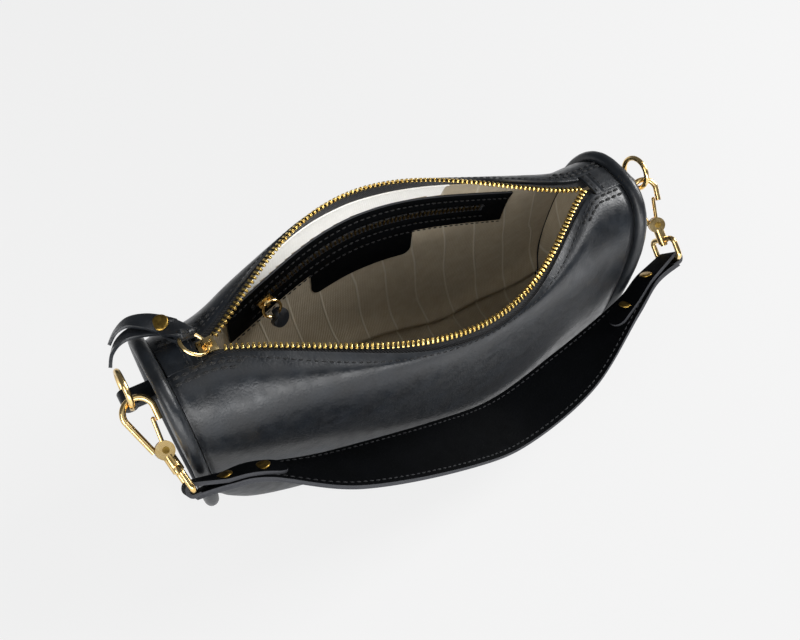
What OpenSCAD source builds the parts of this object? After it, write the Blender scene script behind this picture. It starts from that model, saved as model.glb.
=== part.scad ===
// Small barrel shoulder bag in smooth leather, standing open: X runs along the zip, Y to the
// back, Z up. The origin is under the middle of the base.

/* [Body] */
// Distance between the two end seams, measured at the top
body_l = 270; // [250:1:320]
// Height of the body at its ends
body_h = 128; // [115:1:150]
// Depth of the body at its ends, front to back
end_d = 68; // [60:1:84]
// How far each end leans in from top to bottom
end_lean = 11; // [4:1:16]
// How far the base rises off the floor at the ends
end_rise = 14; // [6:1:18]
// How far the front and the back swell out halfway along
belly = 5; // [1:0.5:6]
// Radius of the piping round each end
pipe_r = 3.5; // [2.5:0.1:4]
// Thickness of the outer leather
leather_t = 1.8; // [1.2:0.1:2.2]
// Thickness of the lining cloth
lining_t = 0.8; // [0.5:0.1:1.2]
// Thickness of the board in the base and of the pocket's cloth
board_t = 0.6; // [0.4:0.1:0.8]
// Gap between layers that lie on each other
layer_gap = 0.3; // [0.2:0.05:0.4]
// Length of the sole sewn under the base
sole_l = 150; // [120:5:160]
// Width of the sole
sole_w = 36; // [28:1:38]
// Thickness of the sole
sole_t = 1.4; // [1:0.1:1.6]

/* [Mouth] */
// Length of the zip opening
mouth_l = 227; // [200:1:232]
// How far each lip is pulled out from the zip's line
mouth_open = 39; // [25:1:42]
// How far the front lip dips in the middle
front_dip = 14.6; // [6:0.2:18]
// How far the back lip rises in the middle
back_rise = 17.5; // [6:0.5:20]
// Width of the strips that bridge the ends of the zip
bridge_w = 16; // [14:0.5:20]
// Width of zip tape that shows beside the teeth
tape_show = 4.5; // [4:0.5:7]
// Thickness of the zip tape
tape_t = 0.6; // [0.4:0.1:0.6]
// Distance from one zip tooth to the next
tooth_pitch = 2.54; // [2.5:0.02:3.2]
// Length of a tooth along the zip
tooth_l = 1.05; // [0.9:0.05:1.2]
// Width of a tooth across the zip
tooth_w = 3.2; // [2.8:0.1:3.4]
// Height of a tooth
tooth_h = 2.2; // [1.6:0.1:2.4]
// Length of the zip's slider
slider_l = 8.5; // [7:0.5:10]
// Width of the zip's slider
slider_w = 9; // [8:0.5:10]

/* [Inside] */
// Height of the leather facing round the pocket's zip
facing_h = 26; // [24:1:32]
// Length of the leather facing
facing_l = 180; // [164:1:190]
// Thickness of the facing and of the bare patch
facing_t = 1.2; // [0.8:0.1:1.6]
// Length of the bare patch under the facing
patch_l = 66; // [40:1:80]
// Height of the bare patch
patch_h = 19; // [12:1:24]
// Length of the pocket's zip
pocket_l = 148; // [130:1:152]
// Width of the pocket's zip
pocket_w = 5; // [4:0.5:6]

/* [Rings and hooks] */
// Radius to the middle of the wire of each side ring
ring_r = 8.8; // [8.5:0.1:9.5]
// Radius of the wire of each side ring
ring_wire = 1.4; // [1.2:0.1:1.5]
// Width of the leather tab that holds each side ring
tab_w = 9; // [8:0.5:9]
// Radius of the wire of hooks and swivel loops
hook_wire = 1.5; // [1.2:0.1:1.6]
// Width of a hook between the middles of its legs
hook_w = 14; // [13.5:0.5:15]
// Distance from a hook's pivot to the middle of its bend
hook_l = 27; // [26:0.5:30]
// Width of a swivel loop between the middles of its sides
loop_w = 18; // [17:0.5:20]
// Length of a swivel loop between the middles of its bars
loop_l = 12; // [11:0.5:14]

/* [Strap] */
// Width of the strap in the middle
strap_w = 36; // [28:1:38]
// Width of the strap at its ends
strap_end_w = 13.2; // [12:0.1:14]
// Thickness of the strap, two leathers sewn together
strap_t = 3; // [2.4:0.1:3.2]
// Thickness of the single leather folded round each loop
fold_t = 1.8; // [1.4:0.1:2]
// Radius of the caps of the strap's rivets
cap_r = 4; // [3:0.1:4.5]

/* [Zip pull] */
// Radius to the middle of the wire of the pull's ring
pull_ring_r = 6.6; // [6:0.1:7.5]
// Radius of that wire
pull_wire = 0.9; // [0.7:0.05:1]
// Width of the leather pull
pull_w = 9; // [7:0.5:10]
// Thickness of the leather pull
pull_t = 1.5; // [1.2:0.1:1.8]

/* [Hidden] */

leather = [0.06, 0.065, 0.075];
edge_leather = [0.16, 0.17, 0.18];
gold = [0.86, 0.68, 0.36];
brass = [0.80, 0.64, 0.22];
cloth = [0.66, 0.62, 0.55];
board = [0.35, 0.33, 0.30];
tape = [0.03, 0.03, 0.035];

// Body shape
half_l = body_l / 2;
mouth_half = mouth_l / 2;
top_z = pipe_r + body_h;
// Squareness of the section, above and below its middle
top_n = 2.67;
base_n = 2.4;
flat_n = 3.6;
// How sharply the base lifts off the floor towards the piping
sag_n = 5;
// How far down the walls the opening of the mouth is felt
fade_n = 3;
mouth_n = 1.5;
// How far the front leather stops short of its lip where the mouth is widest
trim_share = 0.13;
front_skew = 0.45;
back_skew = -0.3;
lip_turn = 85;
lip_out = 1.6;
zip_drop = 3;
row_gap = 2.4;
step_share = 0.004;
seam_share = 0.000000001;
end_share = 1 - (pipe_r + layer_gap) / (half_l - end_lean / 2);
lip_a = asin(pow(bridge_w / end_d, top_n / 2));

function spow(v, e) = sign(v) * pow(abs(v), e);
function square_n(a, u) = cos(a) > 0 ? top_n : base_n + flat_n * pow(1 - u * u, 2);
function half_d(u) = end_d / 2 + belly * (1 - u * u);
base_lift = sole_t + layer_gap / 3;
function low_z(u) = base_lift + (pipe_r + end_rise - base_lift) * pow(abs(u), sag_n);
// Section of the closed body at share u of its half length, a degrees round from the top
function section(a, u) = let (n = square_n(a, u), lo = low_z(u))
    [half_d(u) * spow(sin(a), 2 / n), (top_z + lo + (top_z - lo) * spow(cos(a), 2 / n)) / 2];
function skew(side) = side < 0 ? front_skew : back_skew;
function dip(side) = side < 0 ? front_dip : -back_rise;
// How wide the mouth stands open at share v of its half length, from 0 to about 1
function gape(v, side) = abs(v) < 1 ? pow(1 - v * v, mouth_n) * exp(skew(side) * v) : 0;
function lean_x(u, z) = u * (half_l - end_lean * (1 - z / top_z));
// Line that the teeth follow
function zip_line(v, side) = let (g = gape(v, side))
    [v * mouth_half, side * (row_gap / 2 + mouth_open * g), top_z - zip_drop - dip(side) * g];
// Upper edge of the leather, which turns from level to upright as the mouth opens
function lip(u, side) = let (g = gape(u * half_l / mouth_half, side), f = lip_turn * min(g, 1),
    z0 = section(lip_a, u)[1])
    [side * (bridge_w / 2 * cos(f) + (row_gap / 2 * (1 - cos(f)) + mouth_open * g) + lip_out * sin(f)),
     z0 * cos(f) + (top_z - zip_drop) * (1 - cos(f)) - dip(side) * g - tape_show * sin(f)];
// Outer face: s runs from the front lip, -1, under the base, 0, to the back lip, 1
function reach(u, side) = side > 0 ? 1
    : 1 - trim_share * pow(min(1, gape(u * half_l / mouth_half, side)), mouth_n);
function shell_at(u, s) = let (side = s < 0 ? -1 : 1, r = abs(s) * reach(u, side), a = 180 - r * (180 - lip_a),
    p = section(a, u), q = section(lip_a, u), l = lip(u, side), w = pow(r, fade_n))
    [lean_x(u, p[1]), side * p[0] + w * (l[0] - side * q[0]), p[1] + w * (l[1] - q[1])];
function outward(u, s) = let (e = step_share,
    du = shell_at(u + e, s) - shell_at(u - e, s),
    s1 = min(1, s + e), s0 = max(-1, s - e),
    ds = shell_at(u, s1) - shell_at(u, s0), n = cross(ds, du)) n / norm(n);
function skin(u, s, inset) = shell_at(u, s) - inset * outward(u, s);
function spread(a, b, n) = [for (i = [0:n]) a + (b - a) * i / n];

// Layers, counted inwards from the outer face
mid_in = leather_t + layer_gap;
tape_in = mid_in + layer_gap * 0.7;
lining_in = mid_in + board_t + 2 * layer_gap;
pocket_in = lining_in + lining_t + 1.5 * layer_gap;
facing_in = pocket_in + tape_t + layer_gap;

// Closed slab between two grids of points
module slab(outer, inner) {
    rows = len(outer);
    cols = len(outer[0]);
    n = rows * cols;
    function k(i, j) = i * cols + j;
    faces = concat(
        [for (i = [0:rows - 2]) for (j = [0:cols - 2]) [k(i, j), k(i, j + 1), k(i + 1, j + 1), k(i + 1, j)]],
        [for (i = [0:rows - 2]) for (j = [0:cols - 2])
            [n + k(i, j), n + k(i + 1, j), n + k(i + 1, j + 1), n + k(i, j + 1)]],
        [for (i = [0:rows - 2]) [k(i, 0), k(i + 1, 0), n + k(i + 1, 0), n + k(i, 0)]],
        [for (i = [0:rows - 2])
            [k(i + 1, cols - 1), k(i, cols - 1), n + k(i, cols - 1), n + k(i + 1, cols - 1)]],
        [for (j = [0:cols - 2]) [k(0, j + 1), k(0, j), n + k(0, j), n + k(0, j + 1)]],
        [for (j = [0:cols - 2])
            [k(rows - 1, j), k(rows - 1, j + 1), n + k(rows - 1, j + 1), n + k(rows - 1, j)]]);
    polyhedron([each for (r = outer) r, each for (r = inner) r],
        [for (q = faces) each [[q[0], q[2], q[1]], [q[0], q[3], q[2]]]]);
}

// Piece of the wall between two insets
module wall(us, ss, in0, in1) {
    slab([for (u = us) [for (s = ss) skin(u, s, in0)]], [for (u = us) [for (s = ss) skin(u, s, in1)]]);
}

// Flat ribbon along a path, with a side direction and a half width at each point
module ribbon(path, sides, halves, t) {
    n = len(path);
    function dir(i) = let (d = path[min(n - 1, i + 1)] - path[max(0, i - 1)]) d / norm(d);
    function up(i) = let (c = cross(sides[i], dir(i))) c / norm(c);
    slab([for (i = [0:n - 1]) [path[i] - sides[i] * halves[i] + up(i) * t / 2,
            path[i] + sides[i] * halves[i] + up(i) * t / 2]],
        [for (i = [0:n - 1]) [path[i] - sides[i] * halves[i] - up(i) * t / 2,
            path[i] + sides[i] * halves[i] - up(i) * t / 2]]);
}

module at_end(side) {
    if (side < 0) mirror([1, 0, 0]) children();
    else children();
}

// Body
wall_rows = 14;
wall_us = spread(-end_share, end_share, 26);
module front_panel() {
    color(leather) wall(wall_us, spread(-1, -seam_share, wall_rows), 0, leather_t);
}
module back_panel() {
    color(leather) wall(wall_us, spread(seam_share, 1, wall_rows), 0, leather_t);
}
// Sole: a patch with rounded corners, on which the bag stands
sole_corner_share = 0.45;
module base_sole() {
    r = sole_corner_share * sole_w;
    color(leather) linear_extrude(height = sole_t)
        polygon([for (q = [0:3]) for (a = [0:15:90]) let (t = 90 * q + a)
            [(q == 0 || q == 3 ? 1 : -1) * (sole_l / 2 - r) + r * cos(t),
             (q < 2 ? 1 : -1) * (sole_w / 2 - r) + r * sin(t)]]);
}
board_u_share = 0.9;
board_s_share = 0.11;
module base_board() {
    color(board) wall(spread(-board_u_share, board_u_share, 12), spread(-board_s_share, board_s_share, 4),
        mid_in, mid_in + board_t);
}

// Outline of an end, drawn in by an inset, in the plane of the end
lean_a = atan(end_lean / top_z);
function end_point(a, inset) = let (p = section(a, 1), q = section(a + 1, 1), t = q - p, n = norm(t))
    [p[0] - inset * t[1] / n * -1, p[1] - inset * t[0] / n];
end_steps = 40;
module end_plate(inset, x_in, t) {
    translate([half_l - end_lean - x_in, 0, 0])
        multmatrix([[0, sin(lean_a), cos(lean_a), 0], [1, 0, 0, 0], [0, cos(lean_a), -sin(lean_a), 0]])
        translate([0, 0, -t / 2]) linear_extrude(height = t)
        polygon([for (i = [0:end_steps - 1]) let (p = end_point(360 * i / end_steps, inset))
            [p[0], p[1] / cos(lean_a)]]);
}
module end_panel() {
    color(leather) end_plate(pipe_r + layer_gap, 0, leather_t);
}
module lining_end() {
    color(cloth) end_plate(pocket_in, pipe_r + leather_t, lining_t);
}
pipe_steps = 40;
pipe_sides = 8;
module piping() {
    function centre(a) = let (p = section(a, 1)) [lean_x(1, p[1]), p[0], p[1]];
    function ring(a) = let (c = centre(a), d = centre(a + 1) - centre(a - 1), x = [1, 0, 0],
        n = cross(x, d) / norm(cross(x, d)))
        [for (b = [0:pipe_sides - 1]) let (t = 360 * b / pipe_sides)
            c + pipe_r * (cos(t) * n + sin(t) * x)];
    pts = [for (i = [0:pipe_steps - 1]) each ring(360 * i / pipe_steps)];
    function k(i, j) = (i % pipe_steps) * pipe_sides + j % pipe_sides;
    color(leather) polyhedron(pts, [for (i = [0:pipe_steps - 1]) for (j = [0:pipe_sides - 1])
        each [[k(i, j), k(i + 1, j), k(i + 1, j + 1)], [k(i, j), k(i + 1, j + 1), k(i, j + 1)]]]);
}
bridge_z = section(lip_a, 1)[1];
bridge_x = mouth_half + layer_gap;
module bridge() {
    len_x = half_l - pipe_r - 2 * layer_gap - bridge_x;
    color(leather) translate([bridge_x, 1.5 * layer_gap - bridge_w / 2, bridge_z - leather_t])
        cube([len_x, bridge_w - 3 * layer_gap, leather_t]);
}
lining_share = end_share - leather_t / half_l;
lining_us = spread(-lining_share, lining_share, 26);
lining_ss = spread(seam_share, 1, wall_rows);
module lining_front() {
    color(cloth) wall(lining_us, [for (i = [0:wall_rows]) -lining_ss[wall_rows - i]], lining_in, lining_in + lining_t);
}
module lining_back() {
    color(cloth) difference() {
        wall(lining_us, lining_ss, lining_in, lining_in + lining_t);
        band(pocket_l, pocket_w, slot_drop, lining_in - layer_gap, lining_in + lining_t + layer_gap);
    }
}

// Zip
hem_share = 1 / wall_rows;
tape_us = [for (u = wall_us) if (abs(u * half_l) < mouth_half + tape_show * 1.2) u];
module zip_tape(side) {
    function row(u, t) = let (n = outward(u, side))
        [zip_line(u * half_l / mouth_half, side) - t * n, skin(u, side, tape_in + t),
            skin(u, side * (1 - hem_share), tape_in + t)];
    color(tape) if (side < 0) slab([for (u = tape_us) row(u, 0)], [for (u = tape_us) row(u, tape_t)]);
    else slab([for (u = tape_us) row(u, tape_t)], [for (u = tape_us) row(u, 0)]);
}
tooth_bite = 1.2;
// Arc length along a row, as pairs of length and share, from the right-hand end
arc_steps = 160;
function arc_table(side) = [for (i = 0, v = 1, len = 0; i <= arc_steps;
    len = len + norm(zip_line(v, side) - zip_line(v - 2 / arc_steps, side)),
    v = v - 2 / arc_steps, i = i + 1) [len, v]];
free_start = 4.2 * tooth_pitch;
module zip_teeth(side) {
    table = arc_table(side);
    first = side < 0 ? tooth_pitch : tooth_pitch * 3 / 2;
    count = floor((table[arc_steps][0] - free_start - first) / tooth_pitch);
    color(brass) for (i = [0:count]) {
        v = lookup(first + i * tooth_pitch, table);
        u = v * mouth_half / half_l;
        d = zip_line(v + step_share, side) - zip_line(v - step_share, side);
        e = d / norm(d);
        n0 = outward(u, side);
        n1 = n0 - (n0 * e) * e;
        n = n1 / norm(n1);
        c = cross(n, e) * side;
        p = zip_line(v, side) - n * tape_t / 2 - c * (tooth_w / 2 - tooth_bite);
        multmatrix([[e[0], c[0], side * n[0], p[0]], [e[1], c[1], side * n[1], p[1]],
            [e[2], c[2], side * n[2], p[2]]])
            cube([tooth_l, tooth_w, tooth_h], center = true);
    }
}

// Slider on the closed end of the zip
slider_x = -mouth_half + slider_l / 2 + layer_gap;
slider_z = top_z - zip_drop - tape_t / 2;
plate_t = 1;
plate_gap = tooth_h / 2 + 2 * layer_gap;
crown_w = 2.4;
crown_bore = 1.3;
crown_z = slider_z + plate_gap + plate_t + crown_bore;
post_r = 0.5;
module zip_slider() {
    color(gold) difference() {
        union() {
            for (s = [-1, 1]) translate([slider_x, 0, slider_z + s * (plate_gap + plate_t / 2)])
                linear_extrude(height = plate_t, center = true)
                    polygon([[-slider_l / 2, -slider_w / 2 * back_share], [slider_l / 2, -slider_w / 2],
                        [slider_l / 2, slider_w / 2], [-slider_l / 2, slider_w / 2 * back_share]]);
            translate([slider_x + slider_l / 2 - 2 * post_r, 0, slider_z - plate_gap - plate_t / 2])
                cylinder(r = post_r, h = 2 * plate_gap + plate_t, $fn = 16);
            translate([slider_x, 0, crown_z]) rotate([90, 0, 0])
                cylinder(r = 2 * crown_bore, h = crown_w, center = true, $fn = 32);
        }
        translate([slider_x, 0, crown_z]) rotate([90, 0, 0])
            cylinder(r = crown_bore, h = 2 * crown_w, center = true, $fn = 32);
        translate([slider_x - slider_l, -slider_w, slider_z - plate_gap])
            cube([slider_l * 2 - slider_l / 2 - 3 * post_r, slider_w * 2, 2 * plate_gap]);
    }
}
back_share = 0.75;

// Ring on the slider, lying back over the bridge
ring_tilt = 30;
module pull_ring() {
    color(gold) translate([slider_x, 0, crown_z]) rotate([0, ring_tilt, 0]) translate([-pull_ring_r, 0, 0])
        rotate_extrude($fn = 32) translate([pull_ring_r, 0]) circle(r = pull_wire, $fn = 12);
}
// Leather pull: folded through the ring at a point of its wire, riveted, and cut into two tails
fold_at = 70;
pull_turn = 50;
rivet_far = 11;
pull_rise = 1;
tail_turns = [-16, 14];
tail_lens = [28, 22];
neck_share = 0.5;
fold_gap = 0.5;
function ring_turned(v) = [v[0] * cos(ring_tilt), v[1], -v[0] * sin(ring_tilt)];
pull_radial = ring_turned([-cos(fold_at), sin(fold_at), 0]);
pull_tangent = ring_turned([sin(fold_at), cos(fold_at), 0]);
pull_from = [slider_x, 0, crown_z] + ring_turned([-pull_ring_r, 0, 0]) + pull_ring_r * pull_radial;
function pull_dir(a) = [-cos(a), sin(a), 0];
function flat_side(a) = cross(pull_dir(a), [0, 0, 1]);
pull_near = pull_from + pull_dir(pull_turn) * rivet_far + [0, 0, pull_rise];
pull_stack = (pull_t + layer_gap) / 2;
module leather_pull() {
    up = cross(pull_tangent, pull_radial);
    h = pull_wire + fold_gap + pull_t / 2;
    half = pull_w / 2;
    loop = [for (a = [-90:22.5:90]) pull_from + pull_radial * h * -cos(a) + up * h * sin(a)];
    color(leather) union() {
        ribbon(loop, [for (p = loop) pull_tangent], [for (p = loop) half * neck_share], pull_t);
        for (s = [-1, 1]) {
            stack = [0, 0, s * pull_stack];
            ribbon([pull_from + up * s * h, pull_near - pull_dir(pull_turn) * half + stack,
                pull_near + pull_dir(pull_turn) * half + stack],
                [pull_tangent, flat_side(pull_turn), flat_side(pull_turn)],
                [half * neck_share, half, half], pull_t);
            k = s < 0 ? 0 : 1;
            ribbon([for (i = [0:6]) pull_near + stack + pull_dir(tail_turns[k]) * tail_lens[k] * i / 6
                    - [0, 0, pull_t * 2 * pow(i / 6, 2)]],
                [for (i = [0:6]) flat_side(tail_turns[k])], [for (i = [0:6]) half * (1 - i / 10)], pull_t);
        }
    }
}
module pull_rivet() {
    p = pull_near;
    shank = 2 * pull_t + layer_gap;
    color(brass) translate([p[0], p[1], p[2] - shank / 2]) {
        cylinder(r = cap_r / 3, h = shank, $fn = 24);
        translate([0, 0, shank]) cylinder(r1 = cap_r, r2 = cap_r * 0.7, h = cap_h, $fn = 32);
        translate([0, 0, -cap_h / 2]) cylinder(r = cap_r * 0.8, h = cap_h / 2, $fn = 32);
    }
}
cap_h = 1;

// Inner pocket, set in the back wall and measured down the wall from its lip
facing_drop = 11;
slot_drop = facing_drop + facing_h * 0.5;
patch_x = -2.5;
// How much further down the wall its left end lies, in a curve that starts right of the middle
droop_x = 15;
facing_droop = 22;
function droop(x) = facing_droop * pow((x - droop_x) / (facing_l / 2 + droop_x), 2);
table_steps = 24;
function drop_table(u) = [for (i = 0, s = 1, d = 0; i <= table_steps;
    d = d + norm(skin(u, s, facing_in) - skin(u, s - 0.7 / table_steps, facing_in)),
    s = s - 0.7 / table_steps, i = i + 1) [d, s]];
// Band of the back wall: its length, its width, how far down its middle lies, and its insets
function band_rows(us, lows, highs, inset) = [for (i = [0:len(us) - 1]) let (t = drop_table(us[i]))
    [for (k = [0:4]) skin(us[i], lookup(lows[i] + (highs[i] - lows[i]) * k / 4, t), inset)]];
module band(l, w, d, in0, in1, x = 0) {
    us = spread((x - l / 2) / half_l, (x + l / 2) / half_l, 14);
    lows = [for (u = us) d + w / 2 + droop(u * half_l)];
    highs = [for (u = us) d - w / 2 + droop(u * half_l)];
    slab(band_rows(us, lows, highs, in0), band_rows(us, lows, highs, in1));
}
module pocket_facing() {
    color(leather) difference() {
        band(facing_l, facing_h, facing_drop + facing_h / 2, facing_in, facing_in + facing_t);
        band(pocket_l, pocket_w, slot_drop, facing_in - layer_gap / 2, facing_in + facing_t + layer_gap);
    }
}
module bare_patch() {
    top = facing_drop + facing_h + layer_gap;
    us = spread((patch_x - patch_l / 2) / half_l, (patch_x + patch_l / 2) / half_l, 16);
    corner = patch_h / 3;
    function low(u) = let (e = patch_l / 2 - abs(u * half_l - patch_x))
        e < corner ? corner - sqrt(corner * corner - pow(corner - e, 2)) : 0;
    lows = [for (u = us) top + patch_h - low(u) + droop(u * half_l)];
    highs = [for (u = us) top + droop(u * half_l)];
    color(leather) slab(
        band_rows(us, lows, highs, pocket_in),
        band_rows(us, lows, highs, pocket_in + facing_t));
}
module pocket_bag() {
    color(cloth) wall([for (i = [5:21]) lining_us[i]], [for (i = [5:12]) lining_ss[i]], mid_in, mid_in + board_t);
}
module pocket_tape() {
    color(tape) band(pocket_l + pocket_w, 2 * pocket_w, slot_drop, pocket_in, pocket_in + tape_t);
}
// Frame on the back wall: X along the zip, Y up the wall, Z into the bag
module on_wall(x, d, inset) {
    u = x / half_l;
    s = lookup(d + droop(x), drop_table(u));
    p = skin(u, s, inset);
    n = -outward(u, s);
    u1 = u + step_share;
    e0 = skin(u1, lookup(d + droop(u1 * half_l), drop_table(u1)), inset) - p;
    e = (e0 - (e0 * n) * n) / norm(e0 - (e0 * n) * n);
    y = cross(n, e);
    multmatrix([[e[0], y[0], n[0], p[0]], [e[1], y[1], n[1], p[1]], [e[2], y[2], n[2], p[2]]]) children();
}
module pocket_teeth() {
    count = floor((pocket_l - pocket_w) / tooth_pitch);
    color(brass) for (i = [0:count]) on_wall((i - count / 2) * tooth_pitch, slot_drop, pocket_in + tape_t)
        translate([-tooth_l / 2, -pocket_w * 0.35, -tape_t / 2]) cube([tooth_l, pocket_w * 0.7, tooth_h * 0.7]);
}
pocket_slider_x = -pocket_l / 2 + 1.4 * pocket_w;
pocket_slider_z = facing_t + layer_gap * 2.6;
small_ring_r = 5;
hang_turn = 19;
small_wire = 0.8;
small_bore = small_wire + 0.25;
small_crown_z = pocket_slider_z + plate_t + small_bore;
module on_slider() {
    on_wall(pocket_slider_x, slot_drop, facing_in) children();
}
module pocket_slider() {
    color(gold) on_slider() difference() {
        union() {
            translate([-slider_l / 2, -slider_w * 0.4, pocket_slider_z])
                cube([slider_l, slider_w * 0.8, plate_t]);
            translate([0, 0, small_crown_z]) rotate([0, 90, 0])
                cylinder(r = 2 * small_bore, h = crown_w, center = true, $fn = 24);
        }
        translate([0, 0, small_crown_z]) rotate([0, 90, 0])
            cylinder(r = small_bore, h = 2 * crown_w, center = true, $fn = 24);
    }
}
module small_ring_place() {
    on_slider() translate([0, 0, small_crown_z]) rotate([-hang_turn, 0, 0]) children();
}
module pocket_ring() {
    color(gold) small_ring_place() translate([0, -small_ring_r, 0])
        rotate_extrude($fn = 32) translate([small_ring_r, 0]) circle(r = small_wire, $fn = 12);
}
puck_r = 5.5;
puck_t = 3;
module pocket_pull() {
    color(leather) small_ring_place() translate([0, -2 * small_ring_r - puck_r * 0.55, 0]) difference() {
        rotate([0, 90, 0]) cylinder(r = puck_r, h = puck_t, center = true, $fn = 32);
        translate([0, puck_r * 0.55 + small_ring_r, 0]) rotate_extrude($fn = 32)
            translate([small_ring_r, 0]) circle(r = small_wire + 0.1, $fn = 12);
    }
}

// Side rings in their tabs
ring_out = 13.5;
ring_slack = 2.5;
ring_drop = 8;
ring_z = top_z - ring_drop;
fit_gap = 0.08;
function ring_x(side) = half_l + ring_out + (side > 0 ? ring_slack : 0);
module side_ring(side) {
    color(gold) translate([side * ring_x(side), 0, ring_z]) rotate([0, 90, 0]) rotate_extrude($fn = 48)
        translate([ring_r, 0]) circle(r = ring_wire, $fn = 16);
}
tab_fronts = [-tab_w / 2, -0.22 * tab_w];
tab_backs = [tab_w / 2, 0.56 * tab_w];
ring_play = 0.3;
module tab(side) {
    z = ring_z - ring_r;
    h = leather_t + layer_gap / 2;
    outer = ring_wire + ring_play + leather_t;
    w = pick(side, tab_backs) - pick(side, tab_fronts);
    function root(v) = lean_x(1, v) + leather_t / 2 / cos(lean_a) + layer_gap / 6;
    color(edge_leather) at_end(side) difference() {
        translate([0, pick(side, tab_backs), 0]) rotate([90, 0, 0]) linear_extrude(height = w) union() {
            polygon([[root(z - h), z - h], [ring_x(side), z - h], [ring_x(side), z + h], [root(z + h), z + h]]);
            translate([ring_x(side), z]) circle(r = outer, $fn = 32);
        }
        translate([ring_x(side), 0, ring_z]) rotate([0, 90, 0]) rotate_extrude($fn = 48)
            translate([ring_r, 0]) circle(r = ring_wire + ring_play, $fn = 24);
    }
}

// Hooks: each is built along Z from its swivel and turned into place
bend_r = hook_w / 2;
clevis_z = 7;
eye_z = clevis_z + hook_l;
bend_z = eye_z - bend_r;
clevis_x = 0.6 * bend_r;
nose_share = 0.44;
cheek_r = 4.4;
cheek_in = 1.3;
cheek_out = 2.5;
pin_r = 0.8;
shank_r = 1.2;
boss_h = 4.2;
boss_r = 2.8;
head_r = 2.1;
gate_tip = [3.5, 21.5];
gate_foot = [0.3, 7];
root_r = 2.2;
root_half = 0.55;
gate_wire = 1;
spring_r = 1.5;
spring_wire = 0.28;
eye_ins = [5.1, 4.8];
eye_in_share = [0, -0.82, -0.57];
hook_dir_shares = [[-0.18, 0.81, 0.555], [-0.03, 0.796, 0.604]];
eye_x_shares = [0.4, 0.7];
hook_turns = [0, -30];
function pick(side, list) = list[side < 0 ? 0 : 1];
function unit(v) = v / norm(v);
function hook_dir(side) = unit(pick(side, hook_dir_shares));
function eye_point(side) = [side * ring_x(side) + pick(side, eye_x_shares), 0, ring_z]
    + pick(side, eye_ins) * eye_in_share;
function heel_point(side) = eye_point(side) - hook_dir(side) * eye_z;
// Places children with Z along the hook and X as near to a given direction as it can be
module aimed(side, x0, turn) {
    z = hook_dir(side);
    x = unit(x0 - (x0 * z) * z);
    y = cross(z, x);
    o = heel_point(side);
    multmatrix([[x[0], y[0], z[0], o[0]], [x[1], y[1], z[1], o[1]], [x[2], y[2], z[2], o[2]]])
        rotate([0, 0, turn]) children();
}
module in_hook(side) {
    aimed(side, [1, 0, 0], pick(side, hook_turns)) children();
}
module rod(a, b, r) {
    d = b - a;
    translate(a) rotate([0, acos(d[2] / norm(d)), atan2(d[1], d[0])]) cylinder(r = r, h = norm(d), $fn = 20);
}
// A hook's leg, which runs a little way into the bend
module leg(a, b) {
    rod(a, b + (b - a) * fit_gap / norm(b - a) * 4, hook_wire - fit_gap / 2);
}
module hook(side) {
    nose_z = clevis_z + cheek_r * 0.35 + (bend_z - clevis_z) * (1 - nose_share);
    leg_z = clevis_z + cheek_r * 0.35;
    nose_x = clevis_x + (bend_r - clevis_x) * (nose_z - leg_z) / (bend_z - leg_z);
    color(gold) in_hook(side) difference() {
        union() {
            leg([-clevis_x, 0, leg_z], [-bend_r, 0, bend_z]);
            translate([0, 0, bend_z]) rotate([90, 0, 0]) rotate_extrude(angle = 180, $fn = 48)
                translate([bend_r, 0]) circle(r = hook_wire, $fn = 20);
            leg([nose_x, 0, nose_z], [bend_r, 0, bend_z]);
            for (s = [-1, 1]) translate([0, s * (cheek_in + cheek_out) / 2, clevis_z]) rotate([90, 0, 0])
                cylinder(r = cheek_r, h = cheek_out - cheek_in, center = true, $fn = 40);
            cylinder(r = boss_r, h = clevis_z - root_r - fit_gap * 4, $fn = 32);
            translate([0, 0, -boss_h - 3 * fit_gap]) cylinder(r = shank_r, h = boss_h + 6 * fit_gap, $fn = 24);
            translate([0, 0, -boss_h - 2 * fit_gap - shank_r]) cylinder(r = head_r, h = shank_r, $fn = 24);
        }
        translate([gate_foot[0], 0, clevis_z]) rotate([90, 0, 0])
            cylinder(r = pin_r + fit_gap / 4, h = 4 * cheek_out, center = true, $fn = 24);
    }
}
module gate(side) {
    foot = [gate_foot[0], 0, gate_foot[1]];
    tip = [gate_tip[0], 0, gate_tip[1]];
    color(gold) in_hook(side) difference() {
        union() {
            translate(foot) rotate([90, 0, 0]) cylinder(r = root_r, h = 2 * root_half, center = true, $fn = 32);
            rod(foot + (tip - foot) * (root_r - fit_gap) / norm(tip - foot), tip, gate_wire);
            translate(tip) sphere(r = gate_wire, $fn = 20);
        }
        translate(foot) rotate([90, 0, 0])
            cylinder(r = pin_r + fit_gap, h = 4 * root_half, center = true, $fn = 24);
    }
}
module gate_pin(side) {
    color(brass) in_hook(side) translate([gate_foot[0], 0, gate_foot[1]]) rotate([90, 0, 0]) {
        cylinder(r = pin_r, h = 2 * cheek_out, center = true, $fn = 24);
        for (s = [-1, 1]) translate([0, 0, s * (cheek_out + pin_r * 0.4)])
            cylinder(r = 2 * pin_r, h = pin_r * 0.7, center = true, $fn = 24);
    }
}
module gate_spring(side) {
    color(brass) in_hook(side) translate([gate_foot[0], (root_half + cheek_in) / 2, gate_foot[1]])
        rotate([90, 0, 0]) rotate_extrude($fn = 32) translate([spring_r - spring_wire, 0])
        circle(r = spring_wire, $fn = 12);
}
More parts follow.
